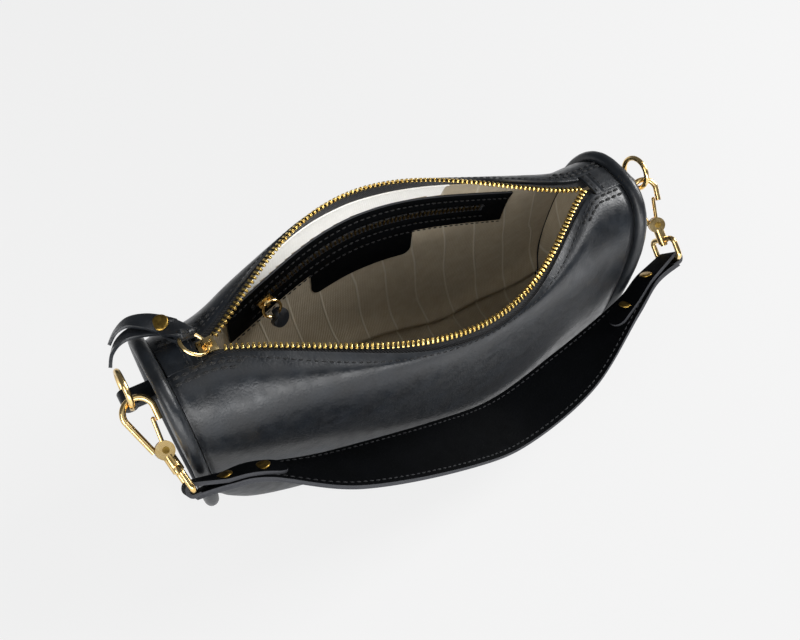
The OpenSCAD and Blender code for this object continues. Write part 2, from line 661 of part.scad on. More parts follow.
// Swivel loop between hook and strap
loop_corner = 3;
boss_z = -boss_h / 2 - fit_gap;
bar_z = boss_z - loop_l;
function bar_point(side) = heel_point(side) + hook_dir(side) * bar_z;
function bar_dir(side) = let (z = hook_dir(side)) unit([0, -z[2], z[1]]);
module swivel_loop(side) {
    x0 = loop_w / 2;
    c = loop_corner;
    color(gold) aimed(side, bar_dir(side), 0) difference() {
        union() {
            for (z = [boss_z, bar_z]) rod([c - x0, 0, z], [x0 - c, 0, z], hook_wire);
            for (s = [-1, 1]) rod([s * x0, 0, bar_z + c], [s * x0, 0, boss_z - c], hook_wire);
            for (s = [0, 1]) for (q = [0, 1]) mirror([s, 0, 0])
                translate([x0 - c, 0, q * (boss_z - c) + (1 - q) * (bar_z + c)]) rotate([90, 0, 0])
                rotate([0, 0, q * 90 - 90]) rotate_extrude(angle = 90, $fn = 48)
                translate([c, 0]) circle(r = hook_wire, $fn = 20);
            translate([0, 0, boss_z]) cylinder(r = boss_r, h = boss_h, center = true, $fn = 32);
        }
        translate([0, 0, boss_z]) cylinder(r = shank_r + fit_gap, h = 2 * boss_h, center = true, $fn = 24);
    }
}

// Strap: each row gives shares of half_l, end_d and top_z, then the turn of its width and its width
bar_gap = 0.4;
bar_to_strap = hook_wire + bar_gap + strap_t / 2;
strap_shares = [[-0.9185, -0.6838, 0.69, 0.5, 0.417], [-0.7852, -0.7, 0.65, 0.389, 0.472],
    [-0.5074, -0.8676, 0.5475, 0.278, 0.917], [-0.023, -0.9191, 0.34, 0.122, 1], [0.3111, -0.8868, 0.226, 0.089, 1],
    [0.6407, -0.8382, 0.349, 0.144, 0.944], [0.9185, -0.7059, 0.521, 0.333, 0.556],
    [1.0222, -0.6544, 0.635, 0.456, 0.43]];
function turn_side(t) = [0, -cos(t), sin(t)];
function turn_out(t) = [0, -sin(t), -cos(t)];
function end_turn(side) = let (d = bar_dir(side)) atan2(d[2], -d[1]);
function end_row(side) = let (t = end_turn(side)) [bar_point(side) + bar_to_strap * turn_out(t), t, strap_end_w];
strap_rows = concat([end_row(-1)],
    [for (r = strap_shares) [[r[0] * half_l, r[1] * end_d, r[2] * top_z], r[3] * 90, r[4] * strap_w]],
    [end_row(1)]);
last_row = len(strap_rows) - 1;
function blend(a, b, c, d, t) = ((2 * b) + (c - a) * t + (2 * a - 5 * b + 4 * c - d) * t * t
    + (3 * b - a - 3 * c + d) * t * t * t) / 2;
// The strap at a place counted in rows from the left-hand end
function strap_at(w) = let (i = min(last_row - 1, max(0, floor(w))), t = w - i, a = strap_rows[max(0, i - 1)],
    b = strap_rows[i], c = strap_rows[i + 1], d = strap_rows[min(last_row, i + 2)])
    [for (k = [0:2]) blend(a[k], b[k], c[k], d[k], t)];
module strap_run(places, offset, t, narrow = 0) {
    rows = [for (w = places) strap_at(w)];
    ribbon([for (r = rows) r[0] + turn_out(r[1]) * offset], [for (r = rows) turn_side(r[1])],
        [for (r = rows) r[2] / 2 - narrow], t);
}
flap_out = -(strap_t + fold_t) / 2 - layer_gap;
function fold_path(side) = let (b = bar_point(side), n = turn_out(end_turn(side)), z = hook_dir(side),
    out = unit(cross(bar_dir(side), n)) * -side * -1, r = hook_wire + bar_gap + fold_t / 2)
    [for (a = [90:-18:-90]) b + r * (sin(a) * n + cos(a) * fold_side(side))];
function fold_side(side) = let (n = turn_out(end_turn(side)), w = bar_dir(side), c = unit(cross(w, n)))
    c[0] * side > 0 ? c : -c;
flap_extra_share = 0.35;
module strap() {
    color(leather) union() {
        strap_run(spread(0, last_row, 44), 0, strap_t);
        for (side = [-1, 1]) {
            e = side < 0 ? 0 : last_row;
            places = [for (w = [1, 1.5, 2, 2 + flap_extra_share]) e - side * w];
            flap = [for (w = places) let (r = strap_at(w)) r[0] + turn_out(r[1]) * flap_out];
            inner = strap_at(e - side / 4);
            path = concat([inner[0] + turn_out(inner[1]) * (fold_t - strap_t) / 2], fold_path(side), flap);
            w0 = strap_end_w / 2;
            sides = concat([for (i = [0:11]) bar_dir(side)], [for (w = places) turn_side(strap_at(w)[1])]);
            halves = concat([for (i = [0:11]) w0], [for (w = places) w0], []);
            ribbon(path, sides, halves, fold_t);
        }
    }
}
rivet_bite = 0.4;
module strap_rivets(side) {
    color(brass) for (w = [1, 2]) {
        r = strap_at(side < 0 ? w : last_row - w);
        n = turn_out(r[1]);
        rod(r[0] + n * (flap_out - fold_t / 2 - cap_h / 2), r[0] + n * (strap_t + cap_h) / 2, cap_r / 3);
        rod(r[0] + n * strap_t / 2, r[0] + n * (strap_t / 2 + cap_h), cap_r);
        rod(r[0] + n * (flap_out - fold_t / 2 - cap_h), r[0] + n * (flap_out - fold_t / 2), cap_r);
    }
}

front_panel();
back_panel();
base_sole();
base_board();
at_end(-1) end_panel();  // end_panel_left
at_end(1) end_panel();  // end_panel_right
at_end(-1) piping();  // piping_left
at_end(1) piping();  // piping_right
at_end(-1) bridge();  // bridge_left
at_end(1) bridge();  // bridge_right
lining_front();
lining_back();
at_end(-1) lining_end();  // lining_end_left
at_end(1) lining_end();  // lining_end_right
zip_tape(-1);  // zip_tape_front
zip_tape(1);  // zip_tape_back
zip_teeth(-1);  // zip_teeth_front
zip_teeth(1);  // zip_teeth_back
zip_slider();
pull_ring();
leather_pull();
pull_rivet();
pocket_facing();
pocket_bag();
bare_patch();
pocket_tape();
pocket_teeth();
pocket_slider();
pocket_ring();
pocket_pull();
tab(-1);  // tab_left
tab(1);  // tab_right
side_ring(-1);  // side_ring_left
side_ring(1);  // side_ring_right
hook(-1);  // hook_left
hook(1);  // hook_right
gate(-1);  // gate_left
gate(1);  // gate_right
gate_pin(-1);  // gate_pin_left
gate_pin(1);  // gate_pin_right
gate_spring(-1);  // gate_spring_left
gate_spring(1);  // gate_spring_right
swivel_loop(-1);  // swivel_loop_left
swivel_loop(1);  // swivel_loop_right
strap();
strap_rivets(-1);  // strap_rivets_left
strap_rivets(1);  // strap_rivets_right
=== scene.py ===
"""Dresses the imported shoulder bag: leather, lining, zips, hardware and strap. Sizes are in millimetres."""

import logging
import math
from contextlib import contextmanager
from dataclasses import dataclass, field
from enum import Enum, IntEnum
from typing import Any, Callable, Iterator, Sequence

import bpy
import numpy as np
from mathutils import Matrix, Vector


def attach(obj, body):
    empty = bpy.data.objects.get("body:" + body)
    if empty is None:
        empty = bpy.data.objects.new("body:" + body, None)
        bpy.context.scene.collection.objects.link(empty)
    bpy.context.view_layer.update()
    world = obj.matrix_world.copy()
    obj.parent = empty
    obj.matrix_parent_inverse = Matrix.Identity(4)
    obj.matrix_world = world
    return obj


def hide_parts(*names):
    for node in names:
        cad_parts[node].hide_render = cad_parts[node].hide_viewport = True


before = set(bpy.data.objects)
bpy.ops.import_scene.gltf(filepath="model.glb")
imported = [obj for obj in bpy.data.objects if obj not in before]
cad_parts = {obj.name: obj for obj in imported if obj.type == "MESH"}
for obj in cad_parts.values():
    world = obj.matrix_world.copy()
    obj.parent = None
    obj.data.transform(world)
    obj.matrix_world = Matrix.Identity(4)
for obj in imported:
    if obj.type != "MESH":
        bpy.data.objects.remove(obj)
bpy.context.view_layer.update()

log = logging.getLogger("bag")
MM = 0.001
Array = np.ndarray
Piece = bpy.types.Object
Finish = bpy.types.Material
Place = Callable[[Array, Array], Array]
Socket = bpy.types.NodeSocket
Model = tuple[Array, list[tuple[int, ...]]]


class Slot(Enum):
    """The record's material slots."""

    LEATHER = "leather"
    LINING = "lining"
    BOARD = "board"
    TAPE = "tape"
    GOLD = "gold"
    TEETH = "teeth"


class Side(IntEnum):
    """The bag's long sides, by the sign of Y."""

    FRONT = -1
    BACK = 1

    @property
    def word(self) -> str:
        """The side's name as the pieces have it."""
        return self.name.lower()


class End(IntEnum):
    """The bag's ends, by the sign of X."""

    LEFT = -1
    RIGHT = 1

    @property
    def word(self) -> str:
        """The end's name as the pieces have it."""
        return self.name.lower()


# ---------------------------------------------------------------- materials


def linear(hex_colour: str) -> tuple[float, float, float, float]:
    """Turn an sRGB hex value into linear RGBA.

    Args:
        hex_colour: Six hex digits after a hash sign.
    Returns:
        Red, green, blue and an alpha of 1.
    """
    parts = [int(hex_colour[i:i + 2], 16) / 255 for i in (1, 3, 5)]
    red, green, blue = (p / 12.92 if p <= 0.04045 else ((p + 0.055) / 1.055) ** 2.4 for p in parts)
    return red, green, blue, 1.0


def add_node(tree: bpy.types.NodeTree, kind: str, settings: dict[str, Any] | None = None,
             inputs: dict[Any, Any] | None = None) -> bpy.types.Node:
    """Add a shader node, set its options, and fill or link its inputs.

    Args:
        tree: The material's or world's node tree.
        kind: The node's type name.
        settings: Options of the node.
        inputs: Values or output sockets by input name or number.
    Returns:
        The new node.
    """
    node = tree.nodes.new(kind)
    for key, value in (settings or {}).items():
        setattr(node, key, value)
    for key, value in (inputs or {}).items():
        if isinstance(value, Socket):
            tree.links.new(value, node.inputs[key])
        else:
            node.inputs[key].default_value = value
    return node


def start_material(name: str, shader: dict[str, Any]) -> tuple[Finish, bpy.types.NodeTree, bpy.types.Node]:
    """Make a material with one shader.

    Args:
        name: The material's name.
        shader: Values for the shader's own sockets.
    Returns:
        The material, its tree and its shader node.
    """
    material = bpy.data.materials.new(name)
    material.use_nodes = True
    tree = material.node_tree
    tree.nodes.clear()
    body = add_node(tree, "ShaderNodeBsdfPrincipled", inputs=shader)
    add_node(tree, "ShaderNodeOutputMaterial", inputs={"Surface": body.outputs["BSDF"]})
    return material, tree, body


@dataclass
class Recipe:
    """A material in the making: one shader, and the patterns that feed it."""

    name: str
    shader: dict[str, Any]
    coordinates: str = "Object"

    def __post_init__(self) -> None:
        """Make the material, its shader and its coordinates."""
        self.material, self.tree, self.body = start_material(self.name, self.shader)
        self.place = add_node(self.tree, "ShaderNodeTexCoord").outputs[self.coordinates]

    def noise(self, size_mm: float, detail: float, roughness: float = 0.5) -> bpy.types.Node:
        """Add clouds of a size in millimetres."""
        return add_node(self.tree, "ShaderNodeTexNoise", inputs={
            "Vector": self.place, "Scale": 1 / (size_mm * MM), "Detail": detail, "Roughness": roughness})

    def wave(self, direction: str, size_mm: float, distortion: float) -> Socket:
        """Add bands that repeat at a size in millimetres."""
        return add_node(self.tree, "ShaderNodeTexWave", {"wave_type": "BANDS", "bands_direction": direction}, {
            "Vector": self.place, "Scale": 2 * math.pi / (20 * size_mm * MM), "Distortion": distortion}).outputs["Fac"]

    def spread(self, value: Socket, low: float, high: float, ends: tuple[float, float] = (0.0, 1.0)) -> Socket:
        """Map the part of a value from low to high onto two ends."""
        return add_node(self.tree, "ShaderNodeMapRange", inputs={
            "Value": value, "From Min": low, "From Max": high, "To Min": ends[0], "To Max": ends[1]}).outputs[0]

    def blend(self, share: Socket, low: str | Socket, high: str) -> Socket:
        """Blend from one colour, a hex value or a socket, to another."""
        return add_node(self.tree, "ShaderNodeMix", {"data_type": "RGBA"}, {
            "Factor": share, 6: linear(low) if isinstance(low, str) else low, 7: linear(high)}).outputs[2]

    def math(self, operation: str, *values: Socket | float, clamp: bool = False) -> Socket:
        """Add one sum."""
        return add_node(self.tree, "ShaderNodeMath", {"operation": operation, "use_clamp": clamp},
                        dict(enumerate(values))).outputs[0]

    def bump(self, height: Socket, strength: float, depth_mm: float, under: Socket | None = None) -> Socket:
        """Add relief, over other relief if there is any."""
        inputs = {"Height": height, "Strength": strength, "Distance": depth_mm * MM}
        return add_node(self.tree, "ShaderNodeBump", inputs=inputs | ({"Normal": under} if under else {})).outputs[0]

    def finish(self, **sources: Socket) -> Finish:
        """Feed the shader's sockets, named with an underscore for a space, and give the material."""
        for name, source in sources.items():
            self.tree.links.new(source, self.body.inputs[name.replace("_", " ")])
        return self.material


@dataclass(frozen=True)
class Leather:
    """Full-grain cowhide, drum dyed and lightly waxed: a tight pebble grain, soft sheen, and paler where it bends."""

    name: str = "leather_waxed_black"
    colour: str = "#0A0D11"
    worn: str = "#12171D"
    # Real pebbles are 0.5 to 0.8 mm wide; they are drawn about three times as wide so that they show.
    grain_mm: float = 2.2
    grain_depth_mm: float = 0.09
    wander_mm: float = 1.2
    crease_mm: float = 14.0
    crease_depth_mm: float = 0.3
    roughness: tuple[float, float] = (0.30, 0.46)
    sheen: float = 0.08
    specular: float = 0.5

    def material(self) -> Finish:
        """Make the material."""
        made = Recipe(self.name, {"IOR": 1.5, "Specular IOR Level": self.specular, "Sheen Weight": self.sheen,
                                  "Sheen Roughness": 0.4})
        cloud = made.noise(self.crease_mm, 5.0, 0.55).outputs["Fac"]
        fine = made.noise(2.5 * self.grain_mm, 3.0)
        bent = add_node(made.tree, "ShaderNodeVectorMath", {"operation": "MULTIPLY_ADD"}, {
            0: fine.outputs["Color"], 1: (self.wander_mm * MM,) * 3, 2: made.place})
        pebble = add_node(made.tree, "ShaderNodeTexVoronoi", {"feature": "DISTANCE_TO_EDGE"}, {
            "Vector": bent.outputs[0], "Scale": 1 / (self.grain_mm * MM)})
        folds = made.bump(cloud, 0.5, self.crease_depth_mm)
        return made.finish(
            Base_Color=made.blend(made.spread(cloud, 0.35, 0.7), self.colour, self.worn),
            Roughness=made.spread(fine.outputs["Fac"], 0.3, 0.7, self.roughness),
            Normal=made.bump(made.spread(pebble.outputs["Distance"], 0.0, 0.35), 0.4, self.grain_depth_mm, folds))


@dataclass(frozen=True)
class RawEdge:
    """Cut leather edge, burnished by hand: grey fibres pressed flat, dull and streaked along the cut."""

    name: str = "leather_cut_edge"
    colour: str = "#26272A"
    pale: str = "#424347"
    fibre_mm: float = 0.9
    depth_mm: float = 0.15

    def material(self) -> Finish:
        """Make the material."""
        made = Recipe(self.name, {"Roughness": 0.78, "Specular IOR Level": 0.3})
        fibre = made.noise(self.fibre_mm, 4.0, 0.7).outputs["Fac"]
        return made.finish(Base_Color=made.blend(fibre, self.colour, self.pale),
                           Normal=made.bump(fibre, 0.6, self.depth_mm))


@dataclass(frozen=True)
class Cloth:
    """Plain-woven cotton: matt, with a thread-by-thread unevenness and, in the lining, a pale slub line every 20 mm."""

    name: str
    colour: str
    shade: str
    # Real threads lie 0.4 mm apart; they are drawn coarser so that they show.
    thread_mm: float = 1.1
    depth_mm: float = 0.16
    line_mm: float = 0.0
    line_colour: str = "#B4AB98"
    lean: float = 0.2
    drift_mm: float = 6.0
    drift_size_mm: float = 1000 / 22
    roughness: float = 0.9

    def slub_line(self, made: Recipe) -> Socket:
        """The pale lines, 1 on a line and 0 beside it, which lean and drift as woven ones do."""
        drift = made.noise(self.drift_size_mm, 1.0).outputs["Fac"]
        along = add_node(made.tree, "ShaderNodeSeparateXYZ", inputs={0: made.place})
        leant = made.math("MULTIPLY_ADD", along.outputs[1], -self.lean, along.outputs[0])
        swung = made.math("MULTIPLY_ADD", drift, self.drift_mm * MM, leant)
        part = made.math("FRACT", made.math("MULTIPLY", swung, 1 / (self.line_mm * MM)))
        far = made.math("ABSOLUTE", made.math("SUBTRACT", part, 0.5))
        return made.spread(far, 0.01, 0.045, (1.0, 0.0))

    def material(self) -> Finish:
        """Make the material."""
        made = Recipe(self.name, {"Roughness": self.roughness, "Specular IOR Level": 0.2, "Sheen Weight": 0.12,
                                  "Sheen Roughness": 0.6}, "UV")
        slub = made.noise(6 * self.thread_mm, 5.0, 0.65).outputs["Fac"]
        height = weave = made.math("MULTIPLY", *(made.wave(way, self.thread_mm, 0.6) for way in "XY"))
        colour = made.blend(made.math("MULTIPLY_ADD", weave, 0.35, slub, clamp=True), self.shade, self.colour)
        if self.line_mm:
            line = self.slub_line(made)
            colour = made.blend(line, colour, self.line_colour)
            height = made.math("MULTIPLY_ADD", line, 2.0, weave)
        return made.finish(Base_Color=colour, Normal=made.bump(height, 0.6, self.depth_mm))


@dataclass(frozen=True)
class Tape:
    """Woven polyester zip tape: fine ribs across its length, matt black."""

    name: str = "tape_woven_black"
    colour: str = "#0B0B0D"
    ridge: str = "#17181B"
    # Real ribs are 0.6 mm wide; they are drawn a third wider so that they show.
    rib_mm: float = 0.8
    depth_mm: float = 0.2

    def material(self) -> Finish:
        """Make the material."""
        made = Recipe(self.name, {"Roughness": 0.82, "Specular IOR Level": 0.3, "Sheen Weight": 0.15,
                                  "Sheen Roughness": 0.5}, "UV")
        ribs = made.wave("DIAGONAL", self.rib_mm, 1.0)
        return made.finish(Base_Color=made.blend(ribs, self.colour, self.ridge),
                           Normal=made.bump(ribs, 0.7, self.depth_mm))


@dataclass(frozen=True)
class Metal:
    """Plated or solid metal, tumbled and polished: its tone and roughness drift a little, as handling leaves it."""

    name: str
    colour: str
    shade: str
    roughness: tuple[float, float]
    patch_mm: float = 5.0

    def material(self) -> Finish:
        """Make the material."""
        made = Recipe(self.name, {"Metallic": 1.0})
        cloud = made.noise(self.patch_mm, 4.0, 0.6).outputs["Fac"]
        return made.finish(Base_Color=made.blend(made.spread(cloud, 0.35, 0.65), self.shade, self.colour),
                           Roughness=made.spread(cloud, 0.3, 0.7, self.roughness))


@dataclass(frozen=True)
class Card:
    """Pressed fibre board, uncoated: mottled grey-brown, quite matt."""

    name: str = "fibre_board"
    colour: str = "#6E675C"
    shade: str = "#5A544A"
    fleck_mm: float = 2.5

    def material(self) -> Finish:
        """Make the material."""
        made = Recipe(self.name, {"Roughness": 0.85})
        fleck = made.noise(self.fleck_mm, 5.0).outputs["Fac"]
        return made.finish(Base_Color=made.blend(fleck, self.shade, self.colour))


def from_finish(finish: Any) -> Any:
    """Give a field whose material is made with the finishes."""
    return field(default_factory=finish.material)


@dataclass
class Finishes:
    """Every material of the bag, made once."""

    leather: Finish = from_finish(Leather())
    matt_leather: Finish = from_finish(Leather(
        "leather_matt_black", "#030405", "#050608", crease_depth_mm=0.15, roughness=(0.62, 0.78), sheen=0.0,
        specular=0.05))
    edge: Finish = from_finish(RawEdge())
    lining: Finish = from_finish(Cloth("cotton_beige", "#AEA28C", "#8C806B", line_mm=20))
    # Painted light: a near-white copy of the lining cloth, for the part of the band over the pocket where light falls.
    lining_painted_lit: Finish = from_finish(Cloth("cotton_painted_lit", "#F4F3EF", "#E2E0DA"))
    tape: Finish = from_finish(Tape())
    thread: Finish = from_finish(Cloth(
        "thread_waxed_black", "#1D1E22", "#121316", thread_mm=0.5, roughness=0.6))
    dark_thread: Finish = from_finish(Cloth(
        "thread_waxed_dark", "#0D0E10", "#060607", thread_mm=0.5, roughness=0.5))
    gold: Finish = from_finish(Metal("zinc_gold_plated", "#EFD49A", "#DDB874", (0.14, 0.24)))
    brass: Finish = from_finish(Metal("brass_antique", "#A98A44", "#7C6230", (0.30, 0.42), 2.0))
    teeth: Finish = from_finish(Metal("brass_struck", "#F3D98C", "#D9B25A", (0.20, 0.32), 1.5))
    # Painted shade: a darkened copy of the brass for the pocket's teeth, which lie in shade inside the bag.
    teeth_painted_shade: Finish = from_finish(Metal("brass_painted_shade", "#54452A", "#332A1A", (0.38, 0.52), 2.0))
    board: Finish = from_finish(Card())


# ---------------------------------------------------------------- modelling


def make_active(piece: Piece) -> None:
    """Select one object alone and make it active."""
    bpy.ops.object.select_all(action="DESELECT")
    piece.select_set(True)
    bpy.context.view_layer.objects.active = piece


@contextmanager
def editing(piece: Piece, select: str | None = "SELECT") -> Iterator[None]:
    """Open a piece's mesh for editing, and close it after.

    Args:
        piece: The object.
        select: What to do with its selection first, or None to leave that.
    Returns:
        Nothing to use.
    """
    make_active(piece)
    bpy.ops.object.mode_set(mode="EDIT")
    if select:
        bpy.ops.mesh.select_all(action=select)
    yield
    bpy.ops.object.mode_set(mode="OBJECT")


def flip(piece: Piece) -> None:
    """Turn all faces of a piece round."""
    with editing(piece):
        bpy.ops.mesh.flip_normals()


def face_towards(piece: Piece, axis: int, sign: int) -> None:
    """Make a sheet look, on the whole, up (sign 1) or down (-1) an axis."""
    if sum((f.normal[axis] * f.area for f in piece.data.polygons), 0.0) * sign < 0:
        flip(piece)


def close_up(piece: Piece) -> None:
    """Merge a wrapped sheet's seam and poles, and turn its faces outwards."""
    with editing(piece):
        bpy.ops.mesh.remove_doubles(threshold=1e-6)
        bpy.ops.mesh.normals_make_consistent(inside=False)


def block_model(size: tuple[float, float, float], cuts: int) -> Piece:
    """Start a model of a tooth as a cut block, its size in millimetres."""
    bpy.ops.mesh.primitive_cube_add(size=1)
    piece = bpy.context.active_object
    with editing(piece):
        bpy.ops.transform.resize(value=tuple(v * MM for v in size))
        bpy.ops.mesh.subdivide(number_cuts=cuts)
    return piece


def apply_modifier(piece: Piece, kind: str, **settings: Any) -> None:
    """Add a modifier, set it, and apply it to the mesh.

    Args:
        piece: The object.
        kind: The modifier's type.
        settings: The modifier's options.
    """
    make_active(piece)
    modifier = piece.modifiers.new(kind.lower(), kind)
    for key, value in settings.items():
        setattr(modifier, key, value)
    bpy.ops.object.modifier_apply(modifier=modifier.name)


def points_of(piece: Piece) -> Array:
    """Read a mesh's points as rows, in metres."""
    found = np.empty(len(piece.data.vertices) * 3)
    piece.data.vertices.foreach_get("co", found)
    return found.reshape(-1, 3)


def set_points(piece: Piece, points: Array) -> None:
    """Write a mesh's points, given as rows in metres."""
    piece.data.vertices.foreach_set("co", points.ravel())
    piece.data.update()


def lay_grid(name: str, across: Array, down: Array, place: Place) -> Piece:
    """Lay a grid primitive over a curved sheet, with a UV map in real metres.

    Args:
        name: The piece's name.
        across: Parameter values along the grid's columns.
        down: Parameter values along its rows, in the direction that keeps the normals outward.
        place: Gives points in millimetres for arrays of both parameters.
    Returns:
        The sheet, still without thickness.
    """
    wide, high = len(across) - 1, len(down) - 1
    bpy.ops.mesh.primitive_grid_add(x_subdivisions=wide, y_subdivisions=high, size=1)
    piece = bpy.context.active_object
    piece.name = piece.data.name = name
    flat = points_of(piece)
    i = np.rint((flat[:, 0] + 0.5) * wide).astype(int)
    j = np.rint((flat[:, 1] + 0.5) * high).astype(int)
    laid = place(across[i], down[j])
    table = np.empty((wide + 1, high + 1, 3))
    table[i, j] = laid
    along = np.linalg.norm(np.diff(table, axis=0), axis=2).mean(1)
    drop = np.linalg.norm(np.diff(table, axis=1), axis=2).mean(0)
    reach_u = np.concatenate([[0], np.cumsum(along)])
    reach_v = np.concatenate([[0], np.cumsum(drop)])
    corner = np.empty(len(piece.data.loops), dtype=np.int32)
    piece.data.loops.foreach_get("vertex_index", corner)
    chart = np.stack([reach_u[i][corner], reach_v[j][corner]], 1) * MM
    piece.data.uv_layers.active.data.foreach_set("uv", chart.ravel())
    set_points(piece, laid * MM)
    return piece


def thicken(piece: Piece, thickness: float, rim: int = 0, soften: float = 0.0, steps: int = 2,
            degrees: float = 50) -> None:
    """Give a sheet its thickness, inwards from its face, round its cut edges and shade it smooth.

    Args:
        piece: The sheet.
        thickness: In millimetres; a negative one grows outwards.
        rim: How many material slots further the cut edge's material is.
        soften: Radius of the rounded edges in millimetres.
        steps: Faces over that rounding.
        degrees: Edges sharper than this angle stay sharp in the shading.
    """
    apply_modifier(piece, "SOLIDIFY", thickness=thickness * MM, offset=-1.0, use_even_offset=False,
                   use_quality_normals=True, material_offset_rim=rim)
    if soften:
        apply_modifier(piece, "BEVEL", width=soften * MM, segments=steps, limit_method="ANGLE",
                       angle_limit=math.radians(50), use_clamp_overlap=True)
    smooth(piece, degrees)


def smooth(piece: Piece, degrees: float = 50) -> None:
    """Shade a piece smooth, apart from edges sharper than an angle."""
    make_active(piece)
    bpy.ops.object.shade_smooth_by_angle(angle=math.radians(degrees))


def dress(piece: Piece, *materials: Finish) -> Piece:
    """Give a piece its materials in order.

    Args:
        piece: The object.
        materials: One for each slot.
    Returns:
        The same object.
    """
    piece.data.materials.clear()
    for material in materials:
        piece.data.materials.append(material)
    return piece


def hand_over(piece: Piece, body: str, slot: Slot, *nodes: str) -> Piece:
    """Fasten a finished piece to its body, hide the solids that it replaces and log its face count.

    Args:
        piece: The finished piece.
        body: The body that it rides on.
        slot: Not used.
        nodes: The solids that it replaces.
    Returns:
        The same piece.
    """
    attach(piece, body)
    if nodes:
        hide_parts(*nodes)
    log.info("%s: %d faces on %s", piece.name, len(piece.data.polygons), body)
    return piece


def finish_sheet(piece: Piece, materials: Sequence[Finish], slot: Slot, node: str,
                 thickness: float, **edges: Any) -> Piece:
    """Dress a sheet of the bag's own body, give it its thickness and hand it over.

    Args:
        piece: The sheet.
        materials: One for each material slot.
        slot: Its slot in the record.
        node: The solid that it replaces.
        thickness: In millimetres; a negative one grows outwards.
        edges: How its edges are finished, as thicken takes them.
    Returns:
        The same piece.
    """
    dress(piece, *materials)
    thicken(piece, thickness, **edges)
    return hand_over(piece, "bag", slot, node)


def mesh_model(piece: Piece) -> Model:
    """Take a modelled piece's points and faces for copying, and remove the piece.

    Args:
        piece: The model.
    Returns:
        Points in metres and the faces.
    """
    points = points_of(piece)
    faces = [tuple(f.vertices) for f in piece.data.polygons]
    bpy.data.objects.remove(piece)
    return points, faces


def repeat_model(name: str, model: Model, frames: Array) -> Piece:
    """Copy one model into many places as one mesh.

    Args:
        name: The new piece's name.
        model: Its points and faces.
        frames: One 3 by 4 matrix for each copy, its place in millimetres.
    Returns:
        The new piece.
    """
    points, faces = model
    turned = np.einsum("nij,pj->npi", frames[:, :, :3], points) + frames[:, None, :, 3] * MM
    count = len(points)
    mesh = bpy.data.meshes.new(name)
    mesh.from_pydata(turned.reshape(-1, 3).tolist(), [],
                     [tuple(v + count * k for v in f) for k in range(len(frames)) for f in faces])
    mesh.uv_layers.new(name="UVMap")
    piece = bpy.data.objects.new(name, mesh)
    bpy.context.scene.collection.objects.link(piece)
    smooth(piece, 60)
    return piece


def unit(v: Array) -> Array:
    """Scale vectors to a length of one."""
    return v / np.linalg.norm(v, axis=-1, keepdims=True)


def smooth_line(points: Array, steps: int) -> Array:
    """Run a smooth curve through control rows.

    Args:
        points: The control rows, of any width.
        steps: Pieces between two of them.
    Returns:
        The rows of the curve.
    """
    padded = np.concatenate([points[:1], points, points[-1:]])
    a, b, c, d = padded[:-3], padded[1:-2], padded[2:-1], padded[3:]
    t = np.linspace(0, 1, steps, endpoint=False)[None, :, None]
    a, b, c, d = (k[:, None, :] for k in (a, b, c, d))
    rows = (2 * b + (c - a) * t + (2 * a - 5 * b + 4 * c - d) * t ** 2 + (3 * b - a - 3 * c + d) * t ** 3) / 2
    return np.concatenate([rows.reshape(-1, points.shape[1]), points[-1:]])


def lay_ribbon(name: str, line: Array, sides: Array, halves: Array, thickness: float,
               rows: int = 9) -> Piece:
    """Lay a strip along a line.

    Args:
        name: The piece's name.
        line: Its middle line.
        sides: Direction of its width at each point.
        halves: Half its width at each point.
        thickness: How thick it is.
        rows: Faces over its width, plus one.
    Returns:
        The strip with its thickness and rounded edges.
    """
    ahead = unit(np.gradient(line, axis=0))
    wide = unit(sides - (sides * ahead).sum(1, keepdims=True) * ahead)
    up = np.cross(ahead, wide)

    def place(n: Array, k: Array) -> Array:
        """Points on the strip's upper face."""
        i = np.rint(n).astype(int)
        return line[i] + up[i] * thickness / 2 + wide[i] * (k * halves[i])[:, None]

    piece = lay_grid(name, np.arange(len(line)), np.linspace(-1, 1, rows), place)
    thicken(piece, thickness, rim=1, soften=min(0.3, thickness / 5))
    return piece


def reach_along(points: Array) -> Array:
    """How far along a path each of its points lies."""
    return np.concatenate([[0], np.cumsum(np.linalg.norm(np.diff(points, axis=0), axis=1))])


def read_at(stops: Array, reach: Array, rows: Array) -> Array:
    """Read rows, which lie at reach along a path, at other stops."""
    return np.stack([np.interp(stops, reach, column) for column in rows.T], 1)


def spaced_along(points: Array, normals: Array, pitch: float) -> tuple[Array, Array, Array]:
    """Walk a path in even steps.

    Args:
        points: The path, in millimetres.
        normals: The face's normal at each point.
        pitch: The step.
    Returns:
        Points, directions and normals at the middle of each step.
    """
    reach = reach_along(points)
    stops = np.arange(pitch / 2, reach[-1], pitch)
    ahead, behind = (read_at(stops + step, reach, points) for step in (0.3, -0.3))
    return read_at(stops, reach, points), unit(ahead - behind), unit(read_at(stops, reach, normals))


@dataclass
class Stitching:
    """Rows of waxed thread, each stitch a slightly sunk capsule."""

    pitch: float = 3.6
    length: float = 2.5
    radius: float = 0.36
    model: Model | None = None

    def stitch(self) -> Model:
        """Model one stitch, once."""
        if self.model is None:
            bpy.ops.mesh.primitive_uv_sphere_add(segments=8, ring_count=5, radius=1.0)
            piece = bpy.context.active_object
            with editing(piece):
                bpy.ops.transform.resize(value=(self.length / 2 * MM, self.radius * MM, self.radius * MM))
            self.model = mesh_model(piece)
        return self.model

    def sew(self, name: str, rows: Sequence[tuple[Array, Array]], lift: float = 0.08) -> Piece:
        """Sew rows of stitches.

        Args:
            name: The piece's name.
            rows: Paths with their normals, in millimetres.
            lift: How far the thread's middle stands over the face.
        Returns:
            The stitches as one piece.
        """
        frames = []
        for path, normals in rows:
            at, ahead, up = spaced_along(path, normals, self.pitch)
            side = unit(np.cross(up, ahead))
            up = np.cross(ahead, side)
            frames.append(np.stack([ahead, side, up, at + up * lift], 2))
        return repeat_model(name, self.stitch(), np.concatenate(frames))


# ---------------------------------------------------------------- form of the bag


def signed_power(v: Array, e: Array | float) -> Array:
    """Raise a size to a power and keep its sign."""
    return np.sign(v) * np.abs(v) ** e


